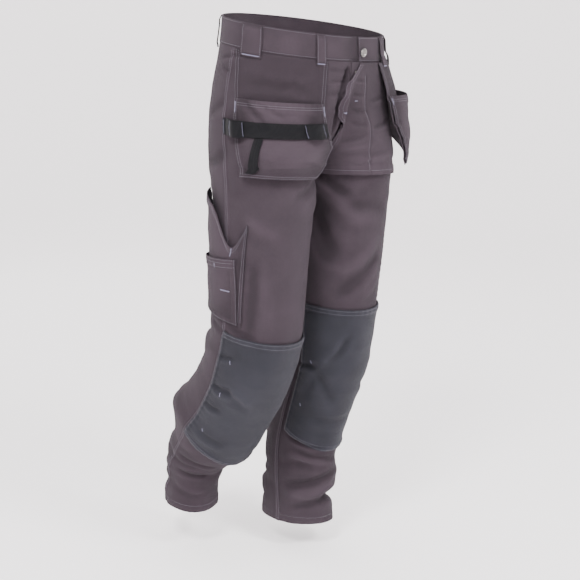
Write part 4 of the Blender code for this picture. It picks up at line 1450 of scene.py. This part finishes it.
def build_knee_pouches():
    for side in ("right", "left"):
        patch = knee_patch(side)
        cloth_piece(
            f"{side}_knee_pouch_cloth", patch, 0.0030, pad_finish(), [f"{side}_knee_pouch"], PAD_CLOTH
        )
        lines = [(patch, inset(patch, "top", gap, 0, 1, 240)) for gap in (0.0030, 0.0105)]
        lines += [(patch, inset(patch, "bottom", gap, 0, 1, 240)) for gap in (0.0030, 0.0105)]
        lines += [(patch, inset(patch, edge, 0.0030)) for edge in ("start", "end")]
        topstitching(f"{side}_knee_pouch_stitching", lines)
        tacks = [(patch, tack_line(patch, place, 0.90, place + 0.022, 0.888), 0.0028) for place in (0.17, 0.42, 0.80)]
        tacks += [(patch, tack_line(patch, place, 0.09, place + 0.022, 0.10), 0.0028) for place in (0.36, 0.70)]
        bar_tacks(f"{side}_knee_pouch_tacks", tacks)


def build_stage():
    bm = bmesh.new()
    profile = [(0.0, 0.0), (4.0, 0.0)]
    profile += [(4.0 + 1.5 * math.sin(a), 1.5 - 1.5 * math.cos(a)) for a in np.linspace(0.15, math.pi / 2, 10)]
    profile += [(5.5, 5.5)]
    ring = [bm.verts.new((radius, 0, FLOOR + height)) for radius, height in profile]
    for first, second in zip(ring, ring[1:]):
        bm.edges.new((first, second))
    bmesh.ops.spin(
        bm, geom=bm.verts[:] + bm.edges[:], cent=(0, 0, 0), axis=(0, 0, 1), angle=2 * math.pi, steps=64, use_merge=True
    )
    bmesh.ops.remove_doubles(bm, verts=bm.verts, dist=0.0001)
    bmesh.ops.recalc_face_normals(bm, faces=bm.faces)
    mesh = bpy.data.meshes.new("pale_room")
    bm.to_mesh(mesh)
    bm.free()
    mesh.shade_smooth()
    mesh.materials.append(stage_finish())
    room = bpy.data.objects.new("pale_room", mesh)
    bpy.context.scene.collection.objects.link(room)

    world = bpy.data.worlds.new("soft_daylight")
    world.use_nodes = True
    sky = world.node_tree.nodes["Background"]
    sky.inputs["Color"].default_value = (1.0, 0.985, 0.99, 1.0)
    sky.inputs["Strength"].default_value = 1.55
    bpy.context.scene.world = world
    add_lamp("key", azimuth=-58, height=1.9, distance=2.5, size=0.8, power=125)
    add_lamp("front", azimuth=4, height=1.8, distance=2.6, size=0.8, power=100)
    add_lamp("left_fill", azimuth=-85, height=0.9, distance=3.5, size=2.2, power=16)
    add_lamp("right_fill", azimuth=70, height=0.9, distance=3.5, size=2.0, power=22)
    add_lamp("back", azimuth=165, height=1.2, distance=3.5, size=2.4, power=40)

    heading = math.radians(CAMERA_AZIMUTH)
    right = Vector((math.cos(heading), -math.sin(heading), 0))
    ahead = Vector((math.sin(heading), math.cos(heading), 0))
    camera = bpy.data.objects.new("camera", bpy.data.cameras.new("camera"))
    camera.location = -ahead * CAMERA_DISTANCE + right * CAMERA_SIDE + Vector((0, 0, CAMERA_HEIGHT))
    dip = math.radians(CAMERA_DIP)
    looking = ahead * math.cos(dip) + Vector((0, 0, -math.sin(dip)))
    camera.rotation_euler = looking.to_track_quat("-Z", "Y").to_euler()
    camera.data.lens = CAMERA_LENS
    camera.data.sensor_width = 36.0
    bpy.context.scene.collection.objects.link(camera)
    bpy.context.scene.camera = camera


def add_lamp(name, azimuth, height, distance, size, power):
    """A square soft light aimed at the middle of the pants."""
    lamp = bpy.data.objects.new(name, bpy.data.lights.new(name, "AREA"))
    lamp.data.size = size
    lamp.data.energy = power
    angle = math.radians(azimuth)
    lamp.location = (distance * math.sin(angle), -distance * math.cos(angle), height)
    target = Vector((0, 0.05, -0.5))
    lamp.rotation_euler = (target - lamp.location).to_track_quat("-Z", "Y").to_euler()
    bpy.context.scene.collection.objects.link(lamp)


def operator(name, label, text, build):
    """One operator class that runs a build function."""

    def execute(self, context):
        build()
        return {"FINISHED"}

    return type(
        f"WORKPANTS_OT_{name}",
        (bpy.types.Operator,),
        {"bl_idname": f"workpants.{name}", "bl_label": label, "__doc__": text, "execute": execute},
    )


OPERATORS = [
    operator("panels", "Leg panels", "Builds the four leg panels with their seams and hems", build_panels),
    operator("waistband", "Waistband", "Builds the waistband and its topstitching", build_waistband),
    operator("belt_loops", "Belt loops", "Builds the seven belt loops", build_belt_loops),
    operator("fastening", "Button and zip", "Builds the waist button, the zip and the cloth behind it", build_fastening),
    operator("apron", "Left front", "Builds the left front's lapped outer layer", build_apron),
    operator("holsters", "Holster pockets", "Builds both hanging holster pockets", build_holsters),
    operator("tool_band", "Tool band", "Builds the webbing band, its loops and strap", build_tool_band),
    operator("side_pockets", "Side pockets", "Builds the long side pockets and the pockets on them", build_side_pockets),
    operator("knee_pouches", "Knee pouches", "Builds both slate knee pouches", build_knee_pouches),
    operator("stage", "Stage", "Builds the pale room, the soft lights and the camera", build_stage),
]


class WORKPANTS_PT_panel(bpy.types.Panel):
    """Lists the sizes, the colours and the pieces."""

    bl_label = "Cargo work pants"
    bl_space_type = "VIEW_3D"
    bl_region_type = "UI"
    bl_category = "Work pants"

    def draw(self, context):
        for group in (context.scene.pants_sizes, context.scene.pants_colours):
            for name in group.__annotations__:
                self.layout.prop(group, name)
        for made in OPERATORS:
            self.layout.operator(made.bl_idname)


CLASSES = [PantsSizes, PantsColours, *OPERATORS, WORKPANTS_PT_panel]


def register():
    for made in CLASSES:
        bpy.utils.register_class(made)
    bpy.types.Scene.pants_sizes = PointerProperty(type=PantsSizes)
    bpy.types.Scene.pants_colours = PointerProperty(type=PantsColours)


def unregister():
    del bpy.types.Scene.pants_sizes
    del bpy.types.Scene.pants_colours
    for made in reversed(CLASSES):
        bpy.utils.unregister_class(made)


def main():
    register()
    for made in OPERATORS:
        getattr(bpy.ops.workpants, made.bl_idname.split(".")[1])()


if __name__ == "__main__":
    main()
